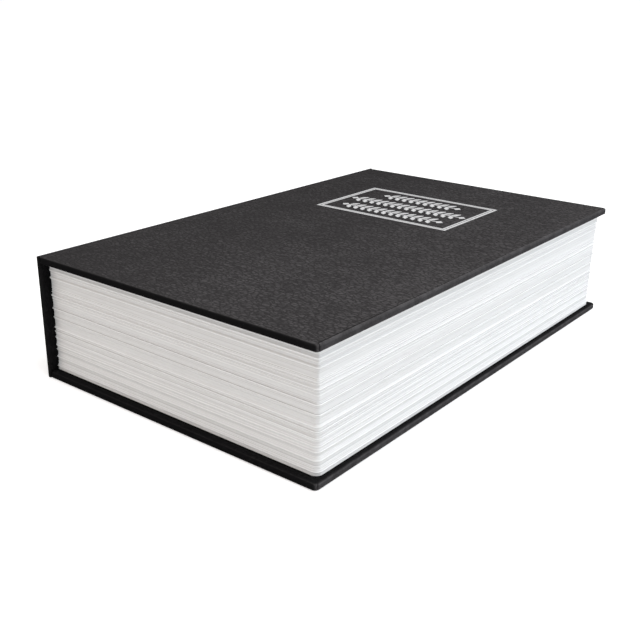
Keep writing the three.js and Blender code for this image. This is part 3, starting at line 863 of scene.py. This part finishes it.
def make_end_paper():
    """Lining turned up over the front board's end, where the open joint shows it."""
    low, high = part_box("front_board")
    piece = start_box("board_end_paper", low - Vector((END_PAPER, 0, 0)), (low.x, high.y, high.z))
    bevel_edges(piece, lambda e: near(middle(e).x, low.x - END_PAPER), PAPER_ROUND * END_PAPER, 2)
    return piece


dress(make_lining(), black_lining, "front_cover", "front_lining")
dress(make_end_paper(), black_lining, "front_cover")
dress(make_joint_strip("back_joint", back_low.z, -1), leather_back, "book")

# %% [markdown]
# ## Page block
# Paper edges are never even. Leaves lie in bundles, and where two bundles meet a few leaves stand
# out as a ridge, often with a gap above it. The ridge gets a painted highlight and the gap painted
# shade, through the shade value of each profile point. Between the ridges the faces lie back, with
# fine lines in painted shade. The moulding copies that all round, with rounded corners, so one
# upright profile swept round the block makes all of it.
#
# The profile is a chain of points worked out from the bundles. It is extruded along the tail in
# short steps, spun round the corner, extruded along the fore-edge, and so on. The short steps
# leave points to move, and a smooth noise then bends the lines a little up, down, in and out.

# %% Page profile
PAGE_BUNDLES = [1.7, 4.3, 3.6, 2.2, 3.2, 2.7, 1.9, 4.8, 4.0, 6.0, 7.8, 3.3, 2.7]  # bottom to top
PAGE_CORNER = 3.5 * MM
PAGE_LEAN = 0.18 * MM
PAGE_SHUFFLE = 2.4
RIDGE = 0.44 * MM  # half the height of a main ridge
HOLLOW = 0.5 * MM
SMALL_RIDGE = 0.2 * MM
LINE_HALF = 0.12 * MM
FACE_SHADE = 0.2  # ridges are below this value, lines and gaps above
FACE_MARGIN = 0.25 * MM
LOWER_RIDGES = 0.55  # share of the lines that are small ridges, in the lower half of the block
UPPER_RIDGES = 0.25
LINE_STEPS = (0.48, 1.25)  # least and most distance from line to line, in mm
RIDGE_RISES = (0.08, 0.14, 0.22)  # of small ridges, in mm
LINE_CUTS = (0.02, 0.05)  # in mm
LINE_SHADES = (0.05, 0.12, 0.25)
GAPS = (0.0, 0.3, 0.7, 1.0)  # how open the gap above a main ridge can be
# the shade values of the lip give the block's foot painted shade
LIP = [(0.0, 0.35 * MM, 0.5), (0.3 * MM, 0.2 * MM, 0.1)]  # the block's rounded foot and top

block_low, block_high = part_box("page_frame")
block_centre, block_half = (block_low + block_high) / 2, (block_high - block_low) / 2


def ridge_points(spot, back, gap):
    """A main ridge, rounded on top, and the gap above it, as height, depth and shade."""
    gap_depth, gap_shade = 0.35 + 0.5 * gap, FACE_SHADE + 0.42 * gap
    steps = [
        (-1, 0.62, FACE_SHADE + 0.06), (-0.6, 0.22, 0.08), (-0.2, 0, 0.0), (0.2, 0, 0.0),
        (0.45, 0.15, 0.1), (0.62, gap_depth, gap_shade), (0.8, gap_depth, gap_shade), (1, 0.5, FACE_SHADE),
    ]
    return [(spot + up * RIDGE, back + deep * HOLLOW, shade) for up, deep, shade in steps]


def line_points(spot, face, half, flat, depth, foot_shade, shade):
    """A fine line or a small ridge: its foot, the two sides of its flat part, and its end."""
    return [
        (spot - half, face, foot_shade), (spot - flat * half, face + depth, shade),
        (spot + flat * half, face + depth, shade), (spot + half, face, FACE_SHADE),
    ]


def face_points(foot, height, back, dense, chance):
    """The hollow face of one bundle, with small ridges and fine lines at uneven steps."""
    points = []
    low, high = foot + RIDGE + FACE_MARGIN, foot + height - RIDGE - FACE_MARGIN
    spot = low + chance.uniform(0.0, 0.3) * MM
    while spot < high:
        middle_share = abs(2 * (spot - foot) / height - 1)
        face = back + HOLLOW * (1 - 0.3 * middle_share**3)
        if chance.random() < dense:
            rise = chance.choice(RIDGE_RISES) * MM
            points += line_points(spot, face, SMALL_RIDGE, 0.4, -rise, FACE_SHADE + 0.05, 0.06)
        else:
            cut = chance.choice(LINE_CUTS) * MM
            shade = FACE_SHADE + chance.choice(LINE_SHADES)
            points += line_points(spot, face, LINE_HALF, 0.3, cut, FACE_SHADE, shade)
        spot += chance.uniform(*LINE_STEPS) * MM
    return points


def page_profile():
    chance = random.Random(7)
    scale = (block_high.z - block_low.z) / sum(PAGE_BUNDLES)
    foot = block_low.z
    points = [(foot + rise, depth, shade) for rise, depth, shade in LIP]
    for index, part in enumerate(PAGE_BUNDLES):
        back = PAGE_LEAN * abs(math.sin(PAGE_SHUFFLE * index))
        height = part * scale
        dense = LOWER_RIDGES if foot < block_centre.z else UPPER_RIDGES
        points += face_points(foot, height, back, dense, chance)
        foot += height
        if index < len(PAGE_BUNDLES) - 1:
            points += ridge_points(foot, back, chance.choice(GAPS))
    return points + [(foot - drop, depth, shade) for drop, depth, shade in reversed(LIP)]


profile = page_profile()
assert all(first[0] < second[0] for first, second in zip(profile, profile[1:]))
print("page profile has", len(profile), "points, each above the one before")

# %% Page sweep
RUN_STEP = 5.5 * MM
CORNER_STEPS = 9


def start_chain(name, points, x, y):
    """An upright chain of points that faces the tail, with each depth measured along Y."""
    deselect_all()
    bpy.ops.mesh.primitive_grid_add(x_subdivisions=1, y_subdivisions=len(points) - 1, size=1)
    piece = settle(name)
    with editing(piece):
        pick(piece, "VERT", lambda v: v.co.x > 0)
        bpy.ops.mesh.delete(type="VERT")
    order = sorted(piece.data.vertices, key=lambda v: v.co.y)
    for vertex, (height, depth, shade) in zip(order, points):
        vertex.co = (x, y + depth, height)
    return piece


def sweep_pages():
    left, right = block_low.x + PAGE_CORNER, block_high.x - PAGE_CORNER
    tail, head = block_low.y + PAGE_CORNER, block_high.y - PAGE_CORNER
    piece = start_chain("page_block", profile, left, block_low.y)
    runs = [
        ((right - left, 0, 0), (right, tail, 0)), ((0, head - tail, 0), (right, head, 0)),
        ((left - right, 0, 0), (left, head, 0)), ((0, tail - head, 0), (left, tail, 0)),
    ]
    quarter = -math.radians(90)  # the operator turns clockwise seen from above
    with editing(piece):
        bpy.ops.mesh.select_mode(type="EDGE")
        for side, corner in runs:
            steps = round(Vector(side).length / RUN_STEP)
            bpy.ops.mesh.extrude_repeat(steps=steps, offset=Vector(side) / steps)
            bpy.ops.mesh.spin(steps=CORNER_STEPS, angle=quarter, center=corner, axis=(0, 0, 1))
    recalculate_normals(piece)
    return piece


pages = sweep_pages()
print("pages have", len(pages.data.polygons), "faces")

# %% [markdown]
# ### Rim and inside of the block
# On top the block has a flat white rim round the lid's opening, and a lip hangs down from the
# opening's edge. The opening has two rounded corners at the fore-edge. The hinge side keeps
# square ones, because the open lid stands in them. The skin's top edge is extruded and each new
# point is set on the opening's outline, in step with the block's own outline. The lip and the
# inner wall are further extrusions of that loop, and a bridge closes the block at its foot.

# %% Rim and inner wall
OPENING_CORNER = 4.0 * MM
RIM = 7.0 * MM
SKIRT_THICK = 1.6 * MM
SKIRT_HANG = 4.0 * MM
RIM_THICK = 2.0 * MM
WALL = 2.2 * MM


def past_corners(point):
    """How far a point lies beyond the centres of the block's rounded corners, in X and in Y."""
    past = Vector((0, 0, 0))
    for axis in (0, 1):
        off = point[axis] - block_centre[axis]
        past[axis] = math.copysign(max(abs(off) - (block_half[axis] - PAGE_CORNER), 0), off)
    return past


def share_along(point, axis):
    """Where a point lies between the block's rounded corners, from 0 to 1."""
    low, high = block_low[axis] + PAGE_CORNER, block_high[axis] - PAGE_CORNER
    return min(1.0, max(0.0, (point[axis] - low) / (high - low)))


def opening_point(point, edge_low, edge_high):
    """The place on the opening's outline that belongs to a point on the block's outline."""
    past = past_corners(point)
    radius = OPENING_CORNER if past.x > 0 else 0.0
    x = edge_low.x + share_along(point, 0) * (edge_high.x - OPENING_CORNER - edge_low.x)
    y = (edge_high.y - radius) * (2 * share_along(point, 1) - 1)
    return Vector((x, y, point.z)) + radius * past.normalized()


def grow_loop(loop_low, loop_high, margin):
    """Extrudes the selected loop in place and spreads it outwards by a margin."""
    extrude_up(0)
    size = loop_high - loop_low
    factors = (1 + 2 * margin / size.x, 1 + 2 * margin / size.y, 1)
    bpy.ops.transform.resize(value=factors, center_override=(loop_low + loop_high) / 2)
    return loop_low - Vector((margin, margin, 0)), loop_high + Vector((margin, margin, 0))


def add_rim(piece):
    top, foot = block_high.z, block_low.z
    edge_low = Vector((block_low.x + RIM, block_low.y + RIM, top))
    edge_high = Vector((block_high.x - RIM, block_high.y - RIM, top))

    def open_edge(edge, height):
        return all(near(v.co.z, height) for v in edge.verts) and len(edge.link_faces) < 2

    with editing(piece):
        pick(piece, "EDGE", lambda e: open_edge(e, top))
        extrude_up(0)
        mesh = bmesh.from_edit_mesh(piece.data)
        for point in mesh.verts:
            if point.select:
                point.co = opening_point(point.co, edge_low, edge_high)
        bmesh.update_edit_mesh(piece.data)
        extrude_up(-(RIM_THICK + SKIRT_HANG))
        edge_low, edge_high = grow_loop(edge_low, edge_high, SKIRT_THICK)
        extrude_up(SKIRT_HANG)
        grow_loop(edge_low, edge_high, RIM - WALL - SKIRT_THICK)
        extrude_up(foot - (top - RIM_THICK))
        pick(piece, "EDGE", lambda e: open_edge(e, foot))
        bpy.ops.mesh.bridge_edge_loops()
    recalculate_normals(piece)


add_rim(pages)
largest = max(face.area for face in pages.data.polygons) / MM**2
print("page block has", len(pages.data.polygons), "faces, the largest of", round(largest), "square mm")

# %% Wavy lines
PAGE_FAN = 0.8 * MM
LONG_WAVE = (85 * MM, 3.1 * MM)  # length along the pages, and height from layer to layer
SHORT_WAVE = (24 * MM, 1.7 * MM)
OUTWARD_WAVE = (24 * MM, 1.3 * MM)
RAG_WAVE = (40 * MM, 0.45 * MM)
LONG_UP = 0.34 * MM
SHORT_UP = 0.10 * MM
WAVE_OUT = 0.12 * MM
CORNER_RAG = 0.16 * MM
TOP_ROUND = 1.3 * MM
FOOT_ROUND = 3.2 * MM
SPINE_SIDE_ROUND = 1.0 * MM
SKIN_DEPTH = 0.9 * MM


def page_wave(place, wave):
    length, layer = wave
    return noise.noise(Vector((place.x / length, place.y / length, place.z / layer)))


def corner_round(at_spine, share):
    """Radius of a block corner: the pages are squarer at the top and at the spine."""
    if at_spine:
        return SPINE_SIDE_ROUND
    return FOOT_ROUND + (TOP_ROUND - FOOT_ROUND) * share**0.7


def bend_pages(piece):
    shades = {round(height / MM, 3): shade for height, depth, shade in profile}
    values = piece.data.attributes.new("page_highlight_and_shade", "FLOAT", "POINT")
    for point in piece.data.vertices:
        shade = shades.get(round(point.co.z / MM, 3))
        past = past_corners(point.co)
        if shade is None or PAGE_CORNER - past.length > SKIN_DEPTH:
            continue
        # this shade value is painted as highlight and shade by the page plastic
        values.data[point.index].value = shade
        off = point.co - block_centre
        share = (point.co.z - block_low.z) / (2 * block_half.z)
        toward = past.normalized()
        if all(abs(off[axis]) > block_half[axis] - PAGE_CORNER - TINY for axis in (0, 1)):
            spare = PAGE_CORNER - corner_round(off.x < 0, share)
            point.co += spare * (Vector((math.copysign(1, off.x), math.copysign(1, off.y), 0)) - toward)
        # the waves die out towards the foot and the top of the block
        hold = min(1.0, 6 * min(share, 1 - share))
        up = LONG_UP * page_wave(point.co, LONG_WAVE) + SHORT_UP * page_wave(point.co, SHORT_WAVE)
        fall = PAGE_FAN * math.sin(math.pi * share**3) * (off.x / (2 * block_half.x) + 0.5)
        back = WAVE_OUT * abs(page_wave(point.co, OUTWARD_WAVE))
        round_share = 2 * min(abs(past.x), abs(past.y)) / PAGE_CORNER
        back += CORNER_RAG * min(1.0, round_share) * abs(page_wave(point.co, RAG_WAVE))
        point.co -= toward * back * hold
        point.co.z += up * hold - fall


bend_pages(pages)
smooth_by_angle(pages, 40)
dress(pages, page_plastic, "book", "page_frame")

# %% [markdown]
# ## Foil panel
# The front cover carries a panel stamped in silver foil: a double border with rows of ornament.
# Foil is a film a few hundredths of a millimetre thick, pressed into the grain. Each border is a
# plane whose middle is inset and taken out. The ornament is three leafy branches, as printers
# have long set them: one leaf shape, repeated in pairs along a stem.

# %% Foil border
PANEL_LOW = Vector((-42.0, 26.7)) * MM
PANEL_HIGH = Vector((34.1, 78.4)) * MM
OUTER_LINE = 1.25 * MM
LINE_GAP = 0.45 * MM
INNER_LINE = 0.95 * MM
FOIL_FOOT = wrap_high.z - FOIL_DEPTH


def start_panel(name, low, high):
    deselect_all()
    bpy.ops.mesh.primitive_plane_add(size=1, location=(*(low + high) / 2, FOIL_FOOT))
    return settle(name, (*(high - low), 1))


def hand_over_foil(piece):
    finish_with(piece, "SOLIDIFY", thickness=FOIL_DEPTH, offset=1)
    dress(piece, silver_foil, "front_cover")


def make_border(name, low, high, width):
    piece = start_panel(name, low, high)
    with editing(piece):
        bpy.ops.mesh.inset(thickness=width)
        bpy.ops.mesh.delete(type="FACE")
    hand_over_foil(piece)


step = Vector((1, 1)) * (OUTER_LINE + LINE_GAP)
make_border("foil_border_outer", PANEL_LOW, PANEL_HIGH, OUTER_LINE)
make_border("foil_border_inner", PANEL_LOW + step, PANEL_HIGH - step, INNER_LINE)

# %% Foil ornament
LEAF = Vector((5.6, 2.7)) * MM
LEAF_TURN = math.radians(58)
LEAF_PITCH = 4.3 * MM
STEM = 0.9 * MM
LOZENGE = 4.2 * MM
ROW_PITCH = 14.2 * MM
ROW_LEAVES = (9, 14, 12)  # pairs of leaves, from the head row to the tail row


def put_circle(points, width, length, place, angle=0.0, taper=0.0):
    """A flat circle with few points, drawn in towards both ends of its width, then turned and put."""
    deselect_all()
    bpy.ops.mesh.primitive_circle_add(vertices=points, radius=0.5, fill_type="NGON")
    piece = settle("leaf", (width, length, 1))
    for point in piece.data.vertices:
        point.co.y *= 1 - taper * abs(point.co.x) / (width / 2)
    piece.rotation_euler.z = angle
    piece.location = (*place, FOIL_FOOT)
    return settle("leaf")


def make_branch(centre, pairs):
    """A straight stem with pairs of leaves that lean forward and a lozenge at each end."""
    half = Vector((pairs * LEAF_PITCH, STEM)) / 2
    parts = [start_panel("stem", centre - half, centre + half)]
    for end in (-1, 1):
        tip = centre + Vector((end * (half.x + LOZENGE / 2), 0))
        parts.append(put_circle(4, LOZENGE, LOZENGE, tip))
    for index in range(pairs):
        foot = centre + Vector((index * LEAF_PITCH - half.x, 0))
        for angle in (-LEAF_TURN, LEAF_TURN):
            reach = Vector((math.cos(angle), math.sin(angle))) * (LEAF.x + STEM) / 2
            parts.append(put_circle(18, LEAF.x, LEAF.y, foot + reach, angle, taper=0.5))
    return parts


def make_ornament():
    parts = []
    for row, pairs in enumerate(ROW_LEAVES):
        parts += make_branch((PANEL_LOW + PANEL_HIGH) / 2 + Vector((0, (1 - row) * ROW_PITCH)), pairs)
    take(parts[0])
    for part in parts:
        part.select_set(True)
    bpy.ops.object.join()
    return settle("foil_ornament")


hand_over_foil(make_ornament())

# %% [markdown]
# ## Turned parts of the lock
# The lock's case, washer and screw come off a lathe. An outline of radius and height is drawn
# once and spun round the lock's axis. The case has a domed rim, a fine step round the plug and a
# threaded barrel with two flats, which stop it from turning in the lid. The thread is a stack of
# rings, because its pitch is too fine to follow by eye, and the flats are planed off by moving
# every point that stands out past them.
#
# The nut is a turned ring with bevelled rims, cut to a hexagon. That way round, each corner
# gets the curved edge that real nuts have.

# %% Turned parts
LATHE_STEPS = 64
FACE_RADIUS = 10 * MM
FACE_THICKNESS = 1.6 * MM
FACE_DOME = [(-1.1, 0), (-0.65, -0.1), (-0.3, -0.32), (-0.1, -0.65), (0, -1)]  # in and down, in mm
BORE = 5.6 * MM
BARREL = 7.5 * MM
BARREL_FLAT = 6.5 * MM
THREAD_PITCH = 1.0 * MM
THREAD_ROOT = BARREL - 0.28 * MM
NUT_BORE = 7.6 * MM
NUT_FLATS = 19 * MM
NUT_CHAMFER = 0.8 * MM
SCREW_HEAD = 3.15 * MM
SCREW_CROWN = 1.1 * MM
SCREW_RIM = 0.7 * MM
SCREW_SHANK = 1.5 * MM
RECESS = Vector((0.8, 3.6, 1.9)) * MM

plug_low, plug_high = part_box("lock_plug")
lock_axis = Vector(((plug_low.x + plug_high.x) / 2, (plug_low.y + plug_high.y) / 2, 0))


def spin_outline(name, outline):
    """Turns a closed outline of (radius, height) points round the lock's axis."""
    deselect_all()
    bpy.ops.mesh.primitive_circle_add(vertices=len(outline), radius=1)
    piece = settle(name)
    for vertex, (radius, height) in zip(piece.data.vertices, outline):
        vertex.co = lock_axis + Vector((radius, 0, height))
    with editing(piece):
        bpy.ops.mesh.spin(steps=LATHE_STEPS, angle=math.tau, center=lock_axis, axis=(0, 0, 1))
    recalculate_normals(piece)
    return piece


def steps_from(radius, height, *steps):
    """Points of an outline, given as steps in millimetres from one radius and height."""
    return [(radius + out * MM, height + up * MM) for out, up in steps]


def cut_with(piece, cutter, operation):
    finish_with(piece, "BOOLEAN", operation=operation, object=cutter, solver="EXACT")
    bpy.data.objects.remove(cutter)
    recalculate_normals(piece)


def make_housing():
    low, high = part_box("lock_housing")
    seat = high.z - FACE_THICKNESS
    outline = [(BORE, low.z)]
    outline += steps_from(BORE, high.z, (0, -0.35), (0.15, -0.2), (0.7, -0.2), (0.9, 0))
    outline += steps_from(FACE_RADIUS, high.z, *FACE_DOME)
    outline += steps_from(FACE_RADIUS, seat, (0, 0.15), (-0.15, 0)) + [(THREAD_ROOT, seat)]
    turn = seat - THREAD_PITCH
    while turn > low.z + THREAD_PITCH:
        for radius, share in ((THREAD_ROOT, 0.1), (BARREL, -0.3), (BARREL, -0.5), (THREAD_ROOT, -0.9)):
            outline.append((radius, turn + share * THREAD_PITCH))
        turn -= THREAD_PITCH
    outline += steps_from(THREAD_ROOT, low.z, (0, 0.2), (-0.2, 0))
    piece = spin_outline("lock_case", outline)
    for vertex in piece.data.vertices:
        if vertex.co.z < seat - TINY:
            vertex.co.y = max(-BARREL_FLAT, min(BARREL_FLAT, vertex.co.y))
    smooth_by_angle(piece, 25)
    return piece


def make_nut():
    low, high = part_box("lock_nut")
    corner, rim = NUT_FLATS / math.sqrt(3), NUT_FLATS / 2 - 0.1 * MM
    outline = steps_from(NUT_BORE, low.z, (0, 0.2)) + steps_from(NUT_BORE, high.z, (0, -0.2), (0.2, 0))
    outline += [(rim, high.z), (corner + 0.1 * MM, high.z - NUT_CHAMFER)]
    outline += [(corner + 0.1 * MM, low.z + NUT_CHAMFER), (rim, low.z), (NUT_BORE + 0.2 * MM, low.z)]
    piece = spin_outline("nut_chamfered", outline)
    deselect_all()
    turn = math.radians(30 if high.x - low.x > high.y - low.y else 0)
    bpy.ops.mesh.primitive_cylinder_add(
        vertices=6, radius=corner, depth=high.z - low.z + 2 * MM,
        location=lock_axis + Vector((0, 0, (low.z + high.z) / 2)), rotation=(0, 0, turn),
    )
    cut_with(piece, settle("hexagon"), "INTERSECT")
    smooth_by_angle(piece, 20)
    return piece


def make_washer():
    low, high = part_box("cam_washer")
    inner, outer = SCREW_SHANK + 0.1 * MM, (high.x - low.x) / 2
    outline = [(inner, low.z), (inner, high.z)] + steps_from(outer, high.z, (-0.12, 0), (0, -0.12))
    outline += steps_from(outer, low.z, (0, 0.12), (-0.12, 0))
    piece = spin_outline("washer_turned", outline)
    smooth_by_angle(piece, 25)
    return piece


def make_screw():
    low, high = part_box("cam_screw")
    seat = low.z + SCREW_CROWN + SCREW_RIM
    outline = [(TINY, high.z), (TINY, low.z)]
    for angle in (math.radians(12 * index) for index in range(1, 8)):
        outline.append((SCREW_HEAD * math.sin(angle), low.z + SCREW_CROWN * (1 - math.cos(angle))))
    outline.append((SCREW_HEAD, low.z + SCREW_CROWN))
    outline += steps_from(SCREW_HEAD, seat, (0, -0.1), (-0.1, 0))
    outline += [(SCREW_SHANK, seat)] + steps_from(SCREW_SHANK, high.z, (0, -0.3), (-0.3, 0))
    piece = spin_outline("screw_turned", outline)
    centre = lock_axis + Vector((0, 0, low.z))
    for half in (RECESS / 2, RECESS.yxz / 2):
        cut_with(piece, start_box("recess", centre - half, centre + half), "DIFFERENCE")
    smooth_by_angle(piece, 25)
    return piece


dress(make_housing(), chrome_plate, "lid", "lock_housing")
dress(make_nut(), zinc_plate, "lid", "lock_nut")
dress(make_washer(), zinc_plate, "lock", "cam_washer")
dress(make_screw(), zinc_plate, "lock", "cam_screw")

# %% [markdown]
# ## Sheet metal with broken edges
# The steel box, its lid, the cam and the plug have their right shapes as solids, but every edge
# is knife sharp, and sheared or cast metal never is. Each is copied, its flat faces are joined
# up, and a fine bevel runs along every edge that turns by more than a curved wall does.

# %% Broken edges
CURVED_WALL = math.radians(50)


def break_edges(node, width, material, body):
    take(frame["nodes"][node])
    bpy.ops.object.duplicate()
    bpy.ops.object.parent_clear(type="CLEAR_KEEP_TRANSFORM")
    piece = settle(node + "_eased")
    with editing(piece):
        bpy.ops.mesh.remove_doubles(threshold=MERGE_REACH)
        bpy.ops.mesh.dissolve_limited(angle_limit=math.radians(1))
    finish_with(piece, "BEVEL", width=width, segments=2, limit_method="ANGLE", angle_limit=CURVED_WALL)
    with editing(piece):
        bpy.ops.mesh.dissolve_degenerate(threshold=4 * MERGE_REACH)
    smooth_by_angle(piece, 40, keep_flats=True)
    dress(piece, material, body, node)


break_edges("safe_body", 0.18 * MM, powder_coat, "book")
break_edges("safe_lid", 0.18 * MM, powder_coat, "lid")
break_edges("lock_cam", 0.2 * MM, zinc_plate, "lock")
break_edges("lock_plug", 0.12 * MM, plain_brass, "lock")

# %% [markdown]
# ## Finishes on the solids that stay
# The hinge pin, the rivets, the wafers and the hidden spine board are plain shapes that hardly
# show, so they keep their meshes and only get their materials.

# %% Dress the solids
FINISHES = {
    "spine_board": raw_board,
    "hinge_pin": zinc_plate,
    "floor_rivet": zinc_plate,
    "lock_wafer": plain_brass,
}
for start, material in FINISHES.items():
    nodes = [node for name, node in frame["nodes"].items() if name.startswith(start)]
    for node in nodes:
        for slot in node.material_slots:
            slot.material = material
    print(start, "is dressed on", len(nodes), "solids")

# %% [markdown]
# ## Studio
# The photograph is a product shot on white. Most of the light comes evenly from the room. A cool
# lamp beyond the fore-edge makes that the brightest side, a warm one at the left front lights the
# tail, and a small one above gives the cover its grey sheen. The floor is pale and keeps the soft
# shadow under the book. Only the camera and reflections see the room as pure white, so the object
# isn't lit by more than a plain level of light.

# %% Floor and room
FLOOR_SIZE = 60.0
FLOOR_DROP = 0.05 * MM
FLOOR_COLOUR = (0.86, 0.86, 0.86)
FLOOR_GLOW = 0.48
ROOM_LEVEL = 0.60
WHITE = (1, 1, 1)


def make_floor():
    deselect_all()
    bpy.ops.mesh.primitive_plane_add(size=FLOOR_SIZE, location=(0, 0, -FLOOR_DROP))
    floor = bpy.context.object
    floor.name = "floor"
    plain = {"Base_Color": FLOOR_COLOUR, "Roughness": 0.9, "Specular_IOR_Level": 0.1}
    material, tree, shader = start_material("floor_white", **plain)
    glow = add_node(tree, "Emission", Color=WHITE, Strength=FLOOR_GLOW)
    both = add_node(tree, "AddShader", shader.outputs[0], glow.outputs[0])
    camera_ray = add_node(tree, "LightPath").outputs["Is Camera Ray"]
    seen = add_node(tree, "MixShader", camera_ray, shader.outputs[0], both.outputs[0])
    set_inputs(tree.nodes["Material Output"], Surface=seen.outputs[0])
    floor.data.materials.append(material)


def make_room():
    world = bpy.data.worlds.new("room")
    bpy.context.scene.world = world
    world.use_nodes = True
    tree = world.node_tree
    light = set_inputs(tree.nodes["Background"], Color=WHITE, Strength=ROOM_LEVEL)
    white = add_node(tree, "Background", Color=WHITE, Strength=1.0)
    path = add_node(tree, "LightPath").outputs
    seen = most(most(path["Is Camera Ray"], path["Is Glossy Ray"]), path["Is Transmission Ray"])
    mixed = add_node(tree, "MixShader", seen, light.outputs[0], white.outputs[0])
    set_inputs(tree.nodes["World Output"], Surface=mixed.outputs[0])


make_floor()
make_room()
print("room level", ROOM_LEVEL, "with a floor of", FLOOR_SIZE, "m")


# %% Lamps
def add_lamp(name, place, aim, side, power, tint):
    bpy.ops.object.light_add(type="AREA", location=place)
    lamp = bpy.context.object
    lamp.name = name
    lamp.data.shape = "SQUARE"
    lamp.data.size = side
    lamp.data.energy = power
    lamp.data.color = tint
    lamp.rotation_mode = "QUATERNION"
    lamp.rotation_quaternion = (Vector(aim) - Vector(place)).to_track_quat("-Z", "Y")
    print(name, "has", power, "W")


add_lamp("lamp_right", (0.66, 0.52, 0.45), (0, 0, 0.03), 0.5, 2.9, (0.85, 0.93, 1.0))
add_lamp("lamp_left", (-0.65, -0.90, 0.75), (0, 0, 0.03), 0.6, 1.7, (1.0, 0.74, 0.53))
add_lamp("lamp_above", (0.14, -0.09, 0.45), (0.03, -0.04, 0.05), 0.25, 1.1, WHITE)

bpy.context.scene.view_settings.view_transform = "Standard"
